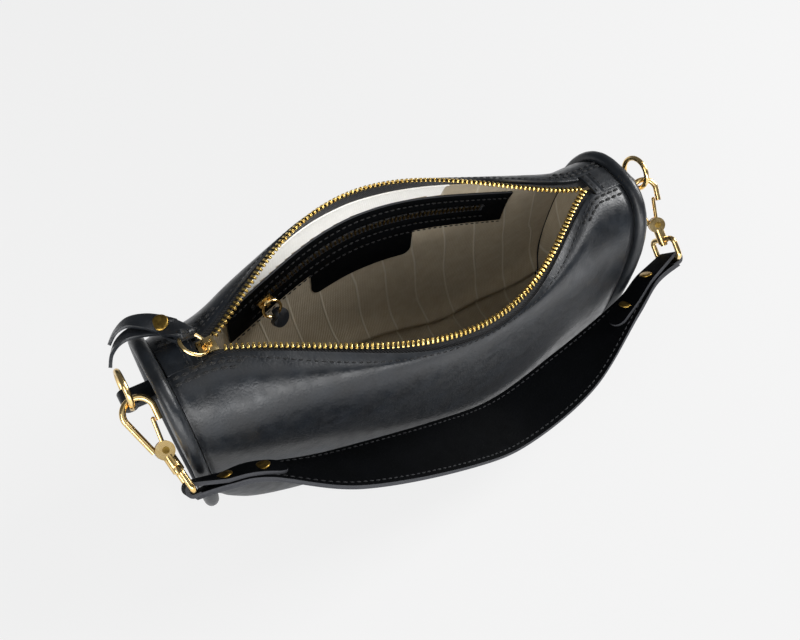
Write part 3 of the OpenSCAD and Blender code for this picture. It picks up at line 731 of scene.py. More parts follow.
@dataclass(frozen=True)
class BagForm:
    """The bag's named sizes and the surface that all its layers follow."""

    half_l: float = 135.0
    top_z: float = 131.5
    end_d: float = 68.0
    end_lean: float = 11.0
    end_rise: float = 14.0
    belly: float = 5.0
    pipe_r: float = 3.5
    base_lift: float = 1.5
    mouth_half: float = 113.5
    mouth_open: float = 39.0
    front_dip: float = 14.6
    back_rise: float = 17.5
    bridge_w: float = 16.0
    tape_show: float = 4.5
    top_n: float = 2.67
    base_n: float = 2.4
    flat_n: float = 3.6
    sag_n: float = 5.0
    fade_n: float = 3.0
    mouth_n: float = 1.5
    trim_share: float = 0.13
    front_skew: float = 0.45
    back_skew: float = -0.3
    lip_turn: float = 85.0
    lip_out: float = 1.6
    zip_drop: float = 3.0
    row_gap: float = 2.4
    end_share: float = 1 - 3.8 / 129.5
    step: float = 0.004
    leather_t: float = 1.8
    lining_in: float = 3.3
    lining_t: float = 0.8
    tape_in: float = 2.31
    tape_t: float = 0.6
    pocket_in: float = 4.55
    facing_in: float = 5.45
    left_tuck: float = 7.0
    ripple_mm: float = 0.42
    billow_mm: float = 0.40
    pinch_mm: float = 0.8
    pinch_x: float = 104.0
    pinch_s: float = 0.84
    # Where the front sags outwards: how far, at which u and s, and how far it spreads along both.
    sags: tuple[tuple[float, ...], ...] = ((3.6, 0.52, -0.30, 0.26, 0.15), (3.4, 0.92, -0.34, 0.16, 0.17))

    @property
    def lip_a(self) -> float:
        """Angle of the closed body's lip, in degrees from the top."""
        return math.degrees(math.asin((self.bridge_w / self.end_d) ** (self.top_n / 2)))

    def section(self, a: Array, u: Array) -> tuple[Array, Array]:
        """Depth and height of the closed body's section, a degrees round from the top."""
        cos, sin = np.cos(np.radians(a)), np.sin(np.radians(a))
        n = np.where(cos > 0, self.top_n, self.base_n + self.flat_n * (1 - u * u) ** 2)
        low = self.base_lift + (self.pipe_r + self.end_rise - self.base_lift) * np.abs(u) ** self.sag_n
        half = self.end_d / 2 + self.belly * (1 - u * u)
        return half * signed_power(sin, 2 / n), (self.top_z + low + (self.top_z - low) * signed_power(cos, 2 / n)) / 2

    def gape(self, v: Array, side: Array | float) -> Array:
        """How wide the mouth stands open at share v of its half length."""
        skew = np.where(np.asarray(side) < 0, self.front_skew, self.back_skew)
        return np.clip(1 - v * v, 0, None) ** self.mouth_n * np.exp(skew * v)

    def dip(self, side: Array | float) -> Array:
        """How far a side's lip goes down."""
        return np.where(np.asarray(side) < 0, self.front_dip, -self.back_rise)

    def zip_line(self, v: Array, side: float) -> Array:
        """The line that one row of teeth follows."""
        g = self.gape(v, side)
        return np.stack([v * self.mouth_half, side * (self.row_gap / 2 + self.mouth_open * g),
                         self.top_z - self.zip_drop - self.dip(side) * g], -1)

    def shell(self, u: Array, s: Array) -> Array:
        """Outer face: s runs from the front lip, -1, under the base, 0, to the back lip, 1."""
        u, s = np.broadcast_arrays(np.asarray(u, float), np.asarray(s, float))
        side = np.where(s < 0, -1.0, 1.0)
        g = self.gape(u * self.half_l / self.mouth_half, side)
        reach = np.where(side > 0, 1.0, 1 - self.trim_share * np.minimum(g, 1) ** self.mouth_n)
        r = np.abs(s) * reach
        py, pz = self.section(180 - r * (180 - self.lip_a), u)
        qy, qz = self.section(np.full_like(u, self.lip_a), u)
        f = np.radians(self.lip_turn * np.minimum(g, 1))
        ly = side * (self.bridge_w / 2 * np.cos(f) + self.row_gap / 2 * (1 - np.cos(f)) + self.mouth_open * g
                     + self.lip_out * np.sin(f))
        lz = qz * np.cos(f) + (self.top_z - self.zip_drop) * (1 - np.cos(f)) - self.dip(side) * g \
            - self.tape_show * np.sin(f)
        w = r ** self.fade_n
        x = u * (self.half_l - self.end_lean * (1 - pz / self.top_z))
        return np.stack([x, side * py + w * (ly - side * qy), pz + w * (lz - qz)], -1)

    def outward(self, u: Array, s: Array) -> Array:
        """Normal of the outer face."""
        e = self.step
        du = self.shell(u + e, s) - self.shell(u - e, s)
        ds = self.shell(u, np.minimum(1, s + e)) - self.shell(u, np.maximum(-1, s - e))
        return unit(np.cross(ds, du))

    def dent(self, u: Array, s: Array) -> Array:
        """Soft unevenness of stuffed leather, inwards, and where it sags low at the front on the right, outwards."""
        x = u * self.half_l
        near_lip = np.exp(-((1 - np.abs(s)) / 0.30) ** 2)
        wave = 0.5 + 0.5 * np.sin(x / 13 + 1.6 * np.sin(x / 41 + 2 * s))
        broad = 0.5 + 0.5 * np.sin(x / 31 + 7 * s)
        corner = np.exp(-((np.abs(x) - self.pinch_x) / 13) ** 2 - ((np.abs(s) - self.pinch_s) / 0.07) ** 2)
        sag = sum(far * np.exp(-((u - at_u) / wide) ** 2 - ((s - at_s) / deep) ** 2)
                  for far, at_u, at_s, wide, deep in self.sags)
        tuck = self.left_tuck * np.exp(-((u + 1) / 0.10) ** 2 - (s / 0.42) ** 2)
        soft = self.ripple_mm * near_lip * wave + self.billow_mm * broad * (1 - near_lip)
        return soft + self.pinch_mm * corner - sag + tuck

    def skin(self, u: Array, s: Array, inset: float | Array) -> Array:
        """A layer's face, that far inside the outer one."""
        u, s = np.broadcast_arrays(np.asarray(u, float), np.asarray(s, float))
        return self.shell(u, s) - (inset + self.dent(u, s))[..., None] * self.outward(u, s)

    def turned_edge(self, u: Array, side: float, t: Array) -> Array:
        """The leather's turned edge, which rolls from the lip (t 0) over the tape towards the teeth (t 1)."""
        edge = np.full_like(u, side)
        lip, inner = self.skin(u, edge, 0.0), self.skin(u, edge * 0.985, 0.0)
        ahead = unit(lip - inner)
        line = self.zip_line(np.clip(u * self.half_l / self.mouth_half, -1, 1), side)
        over = line + (self.tape_in - 0.1) * self.outward(u, edge)
        away = np.linalg.norm(over - lip, axis=-1, keepdims=True)
        goal = lip + (over - lip) * np.clip(1 - 3.9 / away, 0.02, 1)
        bend = lip + ahead * 0.45 * np.linalg.norm(goal - lip, axis=-1, keepdims=True)
        t = t[..., None]
        return (1 - t) ** 2 * lip + 2 * t * (1 - t) * bend + t ** 2 * goal

    def back_place(self, x: Array, drop: Array, inset: float) -> Array:
        """A point on the back wall, measured down the wall from its lip.

        Args:
            x: Place along the bag.
            drop: How far down the wall, in millimetres.
            inset: How far inside the outer face.
        Returns:
            The points.
        """
        u = np.asarray(x, float) / self.half_l
        s_table = np.linspace(1, 0.3, 60)
        own, back = np.unique(u, return_inverse=True)
        line = self.shell(own[:, None], s_table[None]) - inset * self.outward(own[:, None] + 0 * s_table, s_table[None])
        reach = np.concatenate([np.zeros((len(own), 1)),
                                np.cumsum(np.linalg.norm(np.diff(line, axis=1), axis=2), axis=1)], 1)
        s = np.array([np.interp(d, reach[k], s_table) for d, k in zip(np.asarray(drop, float).ravel(), back.ravel())])
        return self.skin(u, s.reshape(u.shape), inset)

    def back_frame(self, x: float, down: Callable[..., Array], drop: float,
                   inset: float) -> tuple[Array, Array]:
        """Place and axes on the back wall: X along the bag, Y up the wall, Z into the bag."""
        xs, ds = np.array([x - 0.5, x + 0.5, x, x]), np.array([drop, drop, drop + 0.5, drop - 0.5])
        p = self.back_place(xs, down(xs, ds), inset)
        ex, ey = unit(p[1] - p[0]), unit(p[3] - p[2])
        ez = unit(np.cross(ex, ey))
        return p.mean(0), np.stack([ex, np.cross(ez, ex), ez], 1)


FORM = BagForm()


@dataclass
class OuterLeather:
    """Front, back, ends, piping, bridges and sole: what the bag's own weight hangs on."""

    form: BagForm
    finishes: Finishes
    stitching: Stitching
    columns: int = 200
    rows: int = 84
    pull_mm: float = 1.0
    pull_reach: float = 2.6
    puckers: int = 37
    pucker_share: float = 0.020
    mouth_row: float = 0.12
    shoulder_x: tuple[float, float] = (97.0, 128.5)
    shoulder_row: float = 1.8
    shoulder_step: tuple[float, float] = (4.0, 3.4)
    turned_to: float = 112.5
    bridge_x: tuple[float, float] = (113.8, 130.9)
    bridge_half: float = 7.55
    bridge_t: float = 1.5
    bridge_rows: tuple[float, float] = (115.4, 120.2)
    sole_size: tuple[float, float] = (150.0, 36.0)
    sole_corner: float = 16.2
    sole_t: float = 1.4

    def seam_pull(self, u: Array) -> Array:
        """How far the panels are drawn in where they are sewn to the piping."""
        left = (self.form.end_share - np.abs(u)) * self.form.half_l
        return self.pull_mm * np.exp(-(left / self.pull_reach) ** 2)

    def panel(self, side: Side) -> Piece:
        """Make the front or the back panel.

        Args:
            side: Front or back.
        Returns:
            The panel.
        """
        form = self.form
        part = np.linspace(-math.pi / 2, math.pi / 2, self.columns) * 0.92
        u = form.end_share * np.sin(part) / math.sin(0.92 * math.pi / 2)
        s = np.concatenate([np.linspace(0.0, 1.0, self.rows) ** 0.92, [1.17, 1.34, 1.5, 1.67, 1.84, 2.0]])

        def place(a: Array, d: Array) -> Array:
            """Points on the wall, and beyond its lip (d 1) on its turned edge."""
            wall = form.skin(a, np.clip(d, -1, 1), self.seam_pull(a))
            edge = form.turned_edge(a, side, np.clip(np.abs(d) - 1, 0, 1))
            past = (np.abs(d) > 1)[:, None]
            under = past * (np.abs(d)[:, None] - 1) * np.array([0, -0.5 * side, 0.0])
            return np.where(past & (np.abs(a) * form.half_l < self.turned_to)[:, None], edge, wall + under)

        piece = lay_grid(f"{side.word}_wall", u, -s if side is Side.FRONT else s[::-1], place)
        return finish_sheet(piece, (self.finishes.leather, self.finishes.edge), Slot.LEATHER, f"{side.word}_panel",
                            form.leather_t, soften=0.55, steps=3, degrees=60)

    def seam_line(self, x: Array, side: Side, depth: float) -> tuple[Array, Array]:
        """A line on the outer face that follows a lip at a distance below it.

        Args:
            x: Places along the bag.
            side: Front or back.
            depth: The distance in millimetres.
        Returns:
            Points and normals.
        """
        form = self.form
        u = x / form.half_l
        edge = np.full_like(u, side)
        per = np.linalg.norm(form.shell(u, edge) - form.shell(u, edge * 0.99), axis=1) / 0.01
        s = edge * (1 - depth / per)
        return form.skin(u, s, 0.0), form.outward(u, s)

    def edge_line(self, side: Side, share: float) -> tuple[Array, Array]:
        """A line on the turned edge, at a share of its width."""
        form = self.form
        u = np.linspace(-111, 111, 400) / form.half_l
        here, ahead = (form.turned_edge(u, side, np.full_like(u, share + k)) for k in (0.0, 0.05))
        normals = unit(np.cross(np.gradient(here, axis=0), ahead - here)) * -side
        return here, normals

    def edge_stitches(self) -> None:
        """Sew the rows along both lips and beside the bridges."""
        rows = [self.edge_line(side, self.mouth_row) for side in Side]
        (start, stop), (later, lower) = self.shoulder_x, self.shoulder_step
        bold = [self.seam_line(end * np.linspace(start + later * k, stop, 30), side, self.shoulder_row + lower * k)
                for end in End for side in Side for k in (0, 1)]
        thick = Stitching(pitch=4.2, length=3.5, radius=0.8)
        for name, sewing, lines in (("stitches_mouth", self.stitching, rows), ("stitches_shoulders", thick, bold)):
            hand_over(dress(sewing.sew(name, lines), self.finishes.dark_thread), "bag", Slot.LEATHER)

    def lift(self, a: Array, end: End) -> Array:
        """How far the left end's lower edge is drawn up, a degrees round from the top."""
        return np.where(end < 0, (self.form.left_tuck + 1) * np.exp(-((a % 360 - 180) / 75) ** 4), 0.0)

    def ring_centre(self, a: Array, end: End) -> Array:
        """Middle line of the piping, a degrees round from the top."""
        y, z = self.form.section(a, np.ones_like(a))
        z = z + self.lift(a, end)
        x = self.form.half_l - self.form.end_lean * (1 - z / self.form.top_z)
        return np.stack([end * x, y, z], -1)

    def piping(self, end: End) -> Piece:
        """Make the leather-covered cord round one end."""
        def place(a: Array, t: Array) -> Array:
            """Points round the cord."""
            centre = self.ring_centre(a, end)
            ahead = unit(self.ring_centre(a + 0.5, end) - self.ring_centre(a - 0.5, end))
            axis = np.array([1.0, 0, 0])
            out = unit(np.cross(axis, ahead))
            round_cord = 0.5 + 0.5 * np.cos(np.radians(t) - 2.2)
            pucker = 1 - self.pucker_share * (1 + np.sin(np.radians(a) * self.puckers)) * round_cord
            radius = self.form.pipe_r * pucker
            cos, sin = np.cos(np.radians(t))[:, None], np.sin(np.radians(t))[:, None]
            return centre + radius[:, None] * (cos * out + sin * axis)

        piece = lay_grid(f"piping_{end.word}_cord", np.linspace(0, 360, 241), np.linspace(0, 360, 25), place)
        close_up(piece)
        smooth(dress(piece, self.finishes.leather), 70)
        return hand_over(piece, "bag", Slot.LEATHER, f"piping_{end.word}")

    def end_disc(self, end: End, inset: float, in_x: float, puff: float, name: str) -> Piece:
        """Make a flat or gently crowned disc that closes one end.

        Args:
            end: Left or right.
            inset: How far inside the end's outline it stops.
            in_x: How far inside the end's plane its middle plane lies.
            puff: How far its middle stands out.
            name: The piece's name.
        Returns:
            The disc without thickness.
        """
        def place(a: Array, r: Array) -> Array:
            """Points on the disc, from its middle, r 0, to its outline, r 1."""
            y, z = self.form.section(a, np.ones_like(a))
            y1, z1 = self.form.section(a + 0.5, np.ones_like(a))
            z, z1 = z + self.lift(a, end), z1 + self.lift(a + 0.5, end)
            tangent = unit(np.stack([y1 - y, z1 - z], -1))
            y, z = y + inset * tangent[:, 1], z - inset * tangent[:, 0]
            middle = (self.form.top_z + self.form.pipe_r) / 2
            y, z = y * r, middle + (z - middle) * r
            x = self.form.half_l - self.form.end_lean * (1 - z / self.form.top_z) - in_x
            x = x + puff * (1 - r ** 2.5)
            return np.stack([end * x, y, z], -1)

        piece = lay_grid(name, np.linspace(0, 360, 121), np.linspace(1, 0, 21), place)
        close_up(piece)
        face_towards(piece, 0, end)
        return piece

    def ends(self, end: End) -> None:
        """Make one end's leather disc and its lining."""
        leather, cotton = f"end_{end.word}_leather", f"end_{end.word}_cotton"
        outer = self.end_disc(end, inset=self.form.pipe_r + 0.3, in_x=-0.9, puff=1.6, name=leather)
        finish_sheet(outer, (self.finishes.leather, self.finishes.edge), Slot.LEATHER, f"end_panel_{end.word}",
                     self.form.leather_t, soften=0.3)
        inner = self.end_disc(end, inset=self.form.pocket_in, in_x=self.form.pipe_r + 1.4, puff=0.0, name=cotton)
        finish_sheet(inner, (self.finishes.lining,), Slot.LINING, f"lining_end_{end.word}",
                     self.form.lining_t, soften=0.2)

    def bridge_top(self) -> float:
        """Height of the closed body's lip at an end, where a bridge lies."""
        return float(self.form.section(np.array([self.form.lip_a]), np.array([1.0]))[1][0])

    def bridge(self, end: End) -> Piece:
        """Make the strip over one end of the zip, with its rounded edges and cross seam."""
        (x0, x1), half, top = self.bridge_x, self.bridge_half, self.bridge_top()

        def place(x: Array, y: Array) -> Array:
            """Points on the strip's top."""
            seam = 0.35 * np.exp(-((x - x0 - 4.2) / 0.7) ** 2)
            crown = 0.35 * (1 - (y / half) ** 2)
            return np.stack([end * x, y * end, top + crown - 0.35 - seam + 0.1], -1)

        piece = lay_grid(f"bridge_{end.word}_strip", np.linspace(x0, x1, 40), np.linspace(-half, half, 24), place)
        return finish_sheet(piece, (self.finishes.leather, self.finishes.edge), Slot.LEATHER, f"bridge_{end.word}",
                            self.bridge_t, soften=0.5, steps=3)

    def bridge_stitches(self) -> None:
        """Sew the double rows over the strips."""
        y, up, top = np.linspace(-6.6, 6.6, 12), np.array([[0.0, 0, 1]] * 12), self.bridge_top() + 0.02
        rows = [(np.stack([np.full(12, end * x), y, np.full(12, top)], 1), up) for end in End for x in self.bridge_rows]
        hand_over(dress(self.stitching.sew("stitches_bridges", rows), self.finishes.dark_thread), "bag", Slot.LEATHER)

    def sole(self) -> Piece:
        """Make the sole with rounded corners and softened edges."""
        bpy.ops.mesh.primitive_plane_add(size=1)
        piece = bpy.context.active_object
        piece.name = piece.data.name = "sole_leather"
        with editing(piece):
            bpy.ops.transform.resize(value=(self.sole_size[0] * MM, self.sole_size[1] * MM, 1))
            bpy.ops.transform.translate(value=(0, 0, self.sole_t * MM))
            bpy.ops.mesh.bevel(offset=self.sole_corner * MM, offset_type="WIDTH", segments=12, affect="VERTICES")
        return finish_sheet(piece, (self.finishes.leather, self.finishes.edge), Slot.LEATHER, "base_sole",
                            self.sole_t, rim=1, soften=0.3, degrees=40)

    def build(self) -> None:
        """Build the whole sub-assembly."""
        for side in Side:
            self.panel(side)
        for end in End:
            self.piping(end)
            self.ends(end)
            self.bridge(end)
        self.edge_stitches()
        self.bridge_stitches()
        self.sole()


@dataclass
class Lining:
    """The cotton inside, sewn in under the zip tapes; the band above the pocket is painted near-white on its left part
    as painted light.
    """

    form: BagForm
    finishes: Finishes
    share: float = 1 - 3.8 / 129.5 - 1.8 / 135
    # Where the painted light on the band above the pocket ends, in millimetres along the bag.
    painted_light_until: float = 43.0
    floor_mm: float = 1.0
    ridge_mm: float = 4.0
    drape_mm: float = 0.5
    ridge_from: float = -45.0
    still_s: float = 0.58
    pocket: "Pocket | None" = None

    def creases(self, u: Array, s: Array) -> Array:
        """Loose folds of the cloth, towards the inside of the bag, in millimetres."""
        x = u * self.form.half_l
        low = np.exp(-(np.abs(s) / 0.30) ** 2)
        line = 0.40 - 0.0017 * np.clip(x, -30, 60) + 0.012 * np.sin(x / 11)
        gap = s - line
        ridge = np.where(gap > 0, np.exp(-(gap / 0.07) ** 2), np.exp(-(gap / 0.02) ** 2)) * (x > self.ridge_from)
        drape = 0.5 + 0.5 * np.sin(x / 15 + 2.5 * s + 0.8 * np.sin(x / 7))
        floor = self.floor_mm * low * (0.5 + 0.5 * np.sin(x / 9 + 5 * s))
        swell = self.ridge_mm * ridge * np.clip((x - self.ridge_from) / 30, 0, 1)
        return floor + swell + self.drape_mm * drape * np.exp(-((s - 0.46) / 0.12) ** 2)

    def wall(self, side: Side) -> Piece:
        """Make one half of the lining."""
        form, front = self.form, side is Side.FRONT
        s = np.linspace(0.0, 1.0, 90)

        def place(a: Array, d: Array) -> Array:
            """Points on the cloth's outer face, creased only where it lies well below the lip."""
            share = np.clip((self.still_s - np.abs(d)) / 0.12, 0, 1)
            return form.skin(a, d, form.lining_in + self.creases(a, d) * share)

        u = np.linspace(-self.share, self.share, 180)
        piece = lay_grid(f"cotton_{side.word}", u, -s if front else s[::-1], place)
        # Its second material is the near-white painted-light cloth, for the band over the pocket.
        dress(piece, self.finishes.lining, self.finishes.lining_painted_lit)
        thicken(piece, form.lining_t, soften=0.2, degrees=60)
        if not front:
            self.paint_band_light(piece)
        hand_over(piece, "bag", Slot.LINING, f"lining_{side.word}")
        return piece

    def paint_band_light(self, piece: Piece) -> None:
        """Give the band over the pocket, left of where the painted light ends, the near-white cloth as painted light.
        """
        x = np.linspace(-110, self.painted_light_until, 120)
        edge = self.form.back_place(x, self.pocket.down(x, self.pocket.drop + 1.5), self.form.lining_in)
        for face in piece.data.polygons:
            where = face.center / MM
            if where.x < self.painted_light_until and where.z > np.interp(where.x, edge[:, 0], edge[:, 2]):
                face.material_index = 1

    def build(self) -> None:
        """Build the whole sub-assembly."""
        for side in Side:
            self.wall(side)


@dataclass
class MainZip:
    """Two tapes and two rows of struck brass teeth."""

    form: BagForm
    finishes: Finishes
    pitch: float = 2.54
    tooth: tuple[float, float, float] = (1.25, 3.3, 2.2)
    bite: float = 1.2
    tape_half: float = 118.5
    hem_share: float = 0.05

    def tape(self, side: Side) -> Piece:
        """Make one tape, from the teeth over to its hem under the leather."""
        form = self.form
        far = self.tape_half / form.half_l
        u = np.linspace(-far, far, 260)
        t = np.linspace(0, 2, 13)

        def place(a: Array, d: Array) -> Array:
            """Points on the tape's outer face: d 0 at the teeth, 1 at the lip and 2 at the hem."""
            edge = np.full_like(a, side)
            top = form.zip_line(a * form.half_l / form.mouth_half, side)
            lip = form.skin(a, edge, form.tape_in)
            hem = form.skin(a, edge * (1 - self.hem_share), form.tape_in)
            first = np.clip(d, 0, 1)[:, None]
            rest = np.clip(d - 1, 0, 1)[:, None]
            return top * (1 - first) + lip * (first - rest) + hem * rest

        down = t[::-1] if side is Side.FRONT else t
        piece = lay_grid(f"zip_tape_{side.word}_weave", u, down, place)
        return finish_sheet(piece, (self.finishes.tape,), Slot.TAPE, f"zip_tape_{side.word}", form.tape_t, soften=0.12)

    def tooth_model(self) -> Model:
        """Model one tooth: legs clamped on the tape, a waist, and a rounded nose."""
        piece = block_model(self.tooth, 3)
        points = points_of(piece)
        y = points[:, 1] / (self.tooth[1] * MM)
        waist = 1 - 0.22 * np.exp(-((y - 0.02) / 0.16) ** 2)
        nose = np.where(y > 0.3, 0.72, 1.0)
        points[:, 0] *= waist * nose
        points[:, 2] *= np.where(y > 0.3, 0.72, np.where(y < -0.3, 0.86, 1.0))
        set_points(piece, points)
        apply_modifier(piece, "BEVEL", width=0.16 * MM, segments=1, limit_method="ANGLE", angle_limit=math.radians(45))
        return mesh_model(piece)

    def teeth(self, side: Side) -> Piece:
        """Set one row of teeth along its tape."""
        form = self.form
        v = np.linspace(1, -1, 161)
        line = form.zip_line(v, side)
        reach = reach_along(line)
        first = self.pitch if side < 0 else self.pitch * 1.5
        count = int((reach[-1] - 4.2 * self.pitch - first) // self.pitch)
        at = np.interp(first + np.arange(count + 1) * self.pitch, reach, v)
        u = at * form.mouth_half / form.half_l
        along = unit(form.zip_line(at + 0.004, side) - form.zip_line(at - 0.004, side))
        up = form.outward(u, np.full_like(u, side))
        up = unit(up - (up * along).sum(1, keepdims=True) * along)
        across = np.cross(up, along) * side
        place = form.zip_line(at, side) - up * form.tape_t / 2 - across * (self.tooth[1] / 2 - self.bite)
        frames = np.stack([along, -across, side * -up, place], 2)
        piece = repeat_model(f"zip_{side.word}_row", self.tooth_model(), frames)
        return hand_over(dress(piece, self.finishes.teeth), "bag", Slot.TEETH, f"zip_teeth_{side.word}")

    def build(self) -> None:
        """Build the whole sub-assembly."""
        for side in Side:
            self.tape(side)
            self.teeth(side)


def rounded_copy(node: str, name: str, width: float, material: Finish) -> Piece:
    """Copy a rigid solid's mesh, merge it, and round its edges as casting and tumbling leave them.

    Args:
        node: The solid.
        name: The new piece's name.
        width: Radius of the rounding in millimetres.
        material: Its finish.
    Returns:
        The new piece.
    """
    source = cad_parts[node]
    piece = bpy.data.objects.new(name, source.data.copy())
    bpy.context.scene.collection.objects.link(piece)
    piece.data.name = name
    with editing(piece):
        bpy.ops.mesh.remove_doubles(threshold=2e-6)
        bpy.ops.mesh.dissolve_limited(angle_limit=math.radians(2))
    if piece.data.has_custom_normals:
        bpy.ops.mesh.customdata_custom_splitnormals_clear()
    apply_modifier(piece, "BEVEL", width=width * MM, segments=2, limit_method="ANGLE", angle_limit=math.radians(40),
                   use_clamp_overlap=True)
    dress(piece, material)
    smooth(piece, 45)
    return piece


@dataclass
class Pocket:
    """The zip pocket in the back wall: facing, bare patch, tape, teeth, slider and pull."""

    form: BagForm
    finishes: Finishes
    stitching: Stitching
    length: float = 180.0
    height: float = 26.0
    drop: float = 11.0
    zip_drop: float = 24.0
    zip_length: float = 148.0
    zip_width: float = 5.0
    zip_pitch: float = 2.54
    leather_t: float = 1.3
    tape_t: float = 0.6
    patch: tuple[float, float, float] = (-2.5, 66.0, 19.0)
    patch_corner: float = 6.3
    pouch_in: float = 2.1
    pouch_u: float = 0.58
    pouch_s: tuple[float, float] = (0.86, 0.36)
    ripple: float = 0.12
    edge_row: float = 2.2
    droop_x: float = 15.0
    droop_by: float = 22.0
    neck: float = 3.6
    puck_turn: float = 72.0

    def down(self, x: Array | float, drop: Array | float) -> Array:
        """How far below the lip a line of the pocket lies at a place along the bag."""
        return drop + self.droop_by * ((x - self.droop_x) / (self.length / 2 + self.droop_x)) ** 2

    def on_wall(self, x: Array, drop: Array, inset: float) -> Array:
        """Points of the pocket on the back wall."""
        return self.form.back_place(x, self.down(x, drop), inset)

    def facing(self) -> Piece:
        """Make the long leather facing with its slot."""
        half, slot = self.length / 2, self.zip_length / 2
        x = np.unique(np.concatenate([np.linspace(*part) for part in (
            (-half, -slot, 14), (-slot, slot, 80), (slot, half, 14))]))
        low, high = self.zip_drop - self.zip_width / 2, self.zip_drop + self.zip_width / 2
        d = np.unique(np.concatenate([np.linspace(*part) for part in (
            (self.drop, low, 9), (low, high, 5), (high, self.drop + self.height, 12))]))
        piece = lay_grid("pocket_facing_leather", x, d, lambda a, b: self.on_wall(a, b, self.form.facing_in))
        with editing(piece, "DESELECT"):
            bpy.ops.mesh.select_mode(type="FACE")
        i, j = np.searchsorted(x, [-slot, slot]), np.searchsorted(d, [low, high])
        columns = len(x) - 1
        for face in piece.data.polygons:
            a, b = face.index % columns, face.index // columns
            face.select = bool(i[0] <= a < i[1] and j[0] <= b < j[1])
        with editing(piece, None):
            bpy.ops.mesh.delete(type="FACE")
        face_towards(piece, 1, 1)
        return finish_sheet(piece, (self.finishes.matt_leather, self.finishes.edge), Slot.LEATHER, "pocket_facing",
                            -self.leather_t, rim=1, soften=0.2)

    def band(self, name: str, x: Array, low: Array, high: Array, inset: float, thickness: float,
             rows: int = 10) -> Piece:
        """Make a sheet on the back wall between two lines, given as drops at each place along the bag.

        Args:
            name: The piece's name.
            x: Places along the bag.
            low: The lower line.
            high: The upper line.
            inset: How far inside the outer face its near side lies.
            thickness: How thick it is, into the bag.
            rows: Rows of faces.
        Returns:
            The sheet.
        """
        def place(a: Array, b: Array) -> Array:
            """Points on the side towards the wall."""
            upper, lower = np.interp(a, x, high), np.interp(a, x, low)
            return self.on_wall(a, upper + (lower - upper) * b, inset)

        # Its faces look at the wall's back, so that a negative thickness grows into the bag.
        piece = lay_grid(name, x, np.linspace(0, 1, rows + 1), place)
        face_towards(piece, 1, 1)
        thicken(piece, -thickness, soften=0.25 if thickness > 1 else 0.12)
        return piece

    def bare_patch(self) -> Piece:
        """Make the plain leather patch under the facing, with rounded lower corners."""
        (middle, length, height), corner = self.patch, self.patch_corner
        top = self.drop + self.height + 0.3
        x = middle + length / 2 * np.sin(np.linspace(-math.pi / 2, math.pi / 2, 60))
        left = np.clip(length / 2 - np.abs(x - middle), 0, corner)
        round_off = corner - np.sqrt(np.clip(corner ** 2 - (corner - left) ** 2, 0, None))
        piece = self.band("bare_patch_leather", x, top + height - round_off, np.full_like(x, top),
                          self.form.pocket_in, self.leather_t, rows=16)
        return hand_over(dress(piece, self.finishes.matt_leather), "bag", Slot.LEATHER, "bare_patch")

    def stitches(self) -> None:
        """Sew above and below the slot and along the facing's upper and lower edges."""
        inset = self.form.facing_in + self.leather_t
        half, slot = self.length / 2 - 2.5, self.zip_length / 2 + self.edge_row
        rows = []
        for reach, drops in ((half, (self.drop + self.edge_row, self.drop + self.height - self.edge_row)),
                             (slot, (self.zip_drop - 4.6, self.zip_drop + 4.6))):
            for d in drops:
                x = np.linspace(-reach, reach, 120)
                path = self.on_wall(x, np.full_like(x, d), inset)
                normals = -self.form.outward(x / self.form.half_l, np.full_like(x, 0.85))
                rows.append((path, normals))
        piece = self.stitching.sew("stitches_pocket", rows)
        hand_over(dress(piece, self.finishes.dark_thread), "bag", Slot.LEATHER)

    def small_teeth(self) -> Piece:
        """Set the pocket's closed row of teeth."""
        tooth = block_model((1.1, 3.5, 1.5), 1)
        apply_modifier(tooth, "BEVEL", width=0.2 * MM, segments=2, limit_method="ANGLE", angle_limit=math.radians(45))
        model = mesh_model(tooth)
        count = int((self.zip_length - self.zip_width) // self.zip_pitch)
        frames = []
        for i in range(count + 1):
            x = (i - count / 2) * self.zip_pitch
            place, axes = self.form.back_frame(x, self.down, self.zip_drop, self.form.pocket_in + self.tape_t)
            frames.append(np.concatenate([axes, (place + axes[:, 2] * 0.45)[:, None]], 1))
        piece = repeat_model("pocket_zip_row", model, np.array(frames))
        # The pocket's teeth take the darkened brass, painted shade for the shade inside the bag.
        return hand_over(dress(piece, self.finishes.teeth_painted_shade), "bag", Slot.TEETH, "pocket_teeth")

    def twist(self, puck: Piece) -> None:
        """Turn the soft puck about the line that it hangs on, from nothing at its ring to a broad view from above."""
        ring = points_of(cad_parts["pocket_ring"]) / MM
        points = points_of(puck) / MM
        root = (ring.min(0) + ring.max(0)) / 2
        axis = unit((points.min(0) + points.max(0)) / 2 - root)
        reach = (points - root) @ axis
        share = np.clip((reach - reach.min()) / self.neck, 0, 1)
        turn = np.radians(self.puck_turn) * share ** 2 * (3 - 2 * share)
        foot = root + reach[:, None] * axis
        off = points - foot
        turned = off * np.cos(turn)[:, None] + np.cross(axis, off) * np.sin(turn)[:, None]
        set_points(puck, (foot + turned) * MM)
        smooth(puck, 45)

    def pouch(self) -> None:
        """Hang the pocket's cloth between the lining and the wall."""
        piece = lay_grid("pocket_pouch_cotton", np.linspace(-self.pouch_u, self.pouch_u, 80),
                         np.linspace(*self.pouch_s, 40), lambda a, d: self.form.skin(
                             a, d, self.pouch_in + self.ripple * np.sin(a * 60 + 9 * d) ** 2))
        finish_sheet(piece, (self.finishes.lining,), Slot.LINING, "pocket_bag", 0.6, soften=0.15, degrees=60)

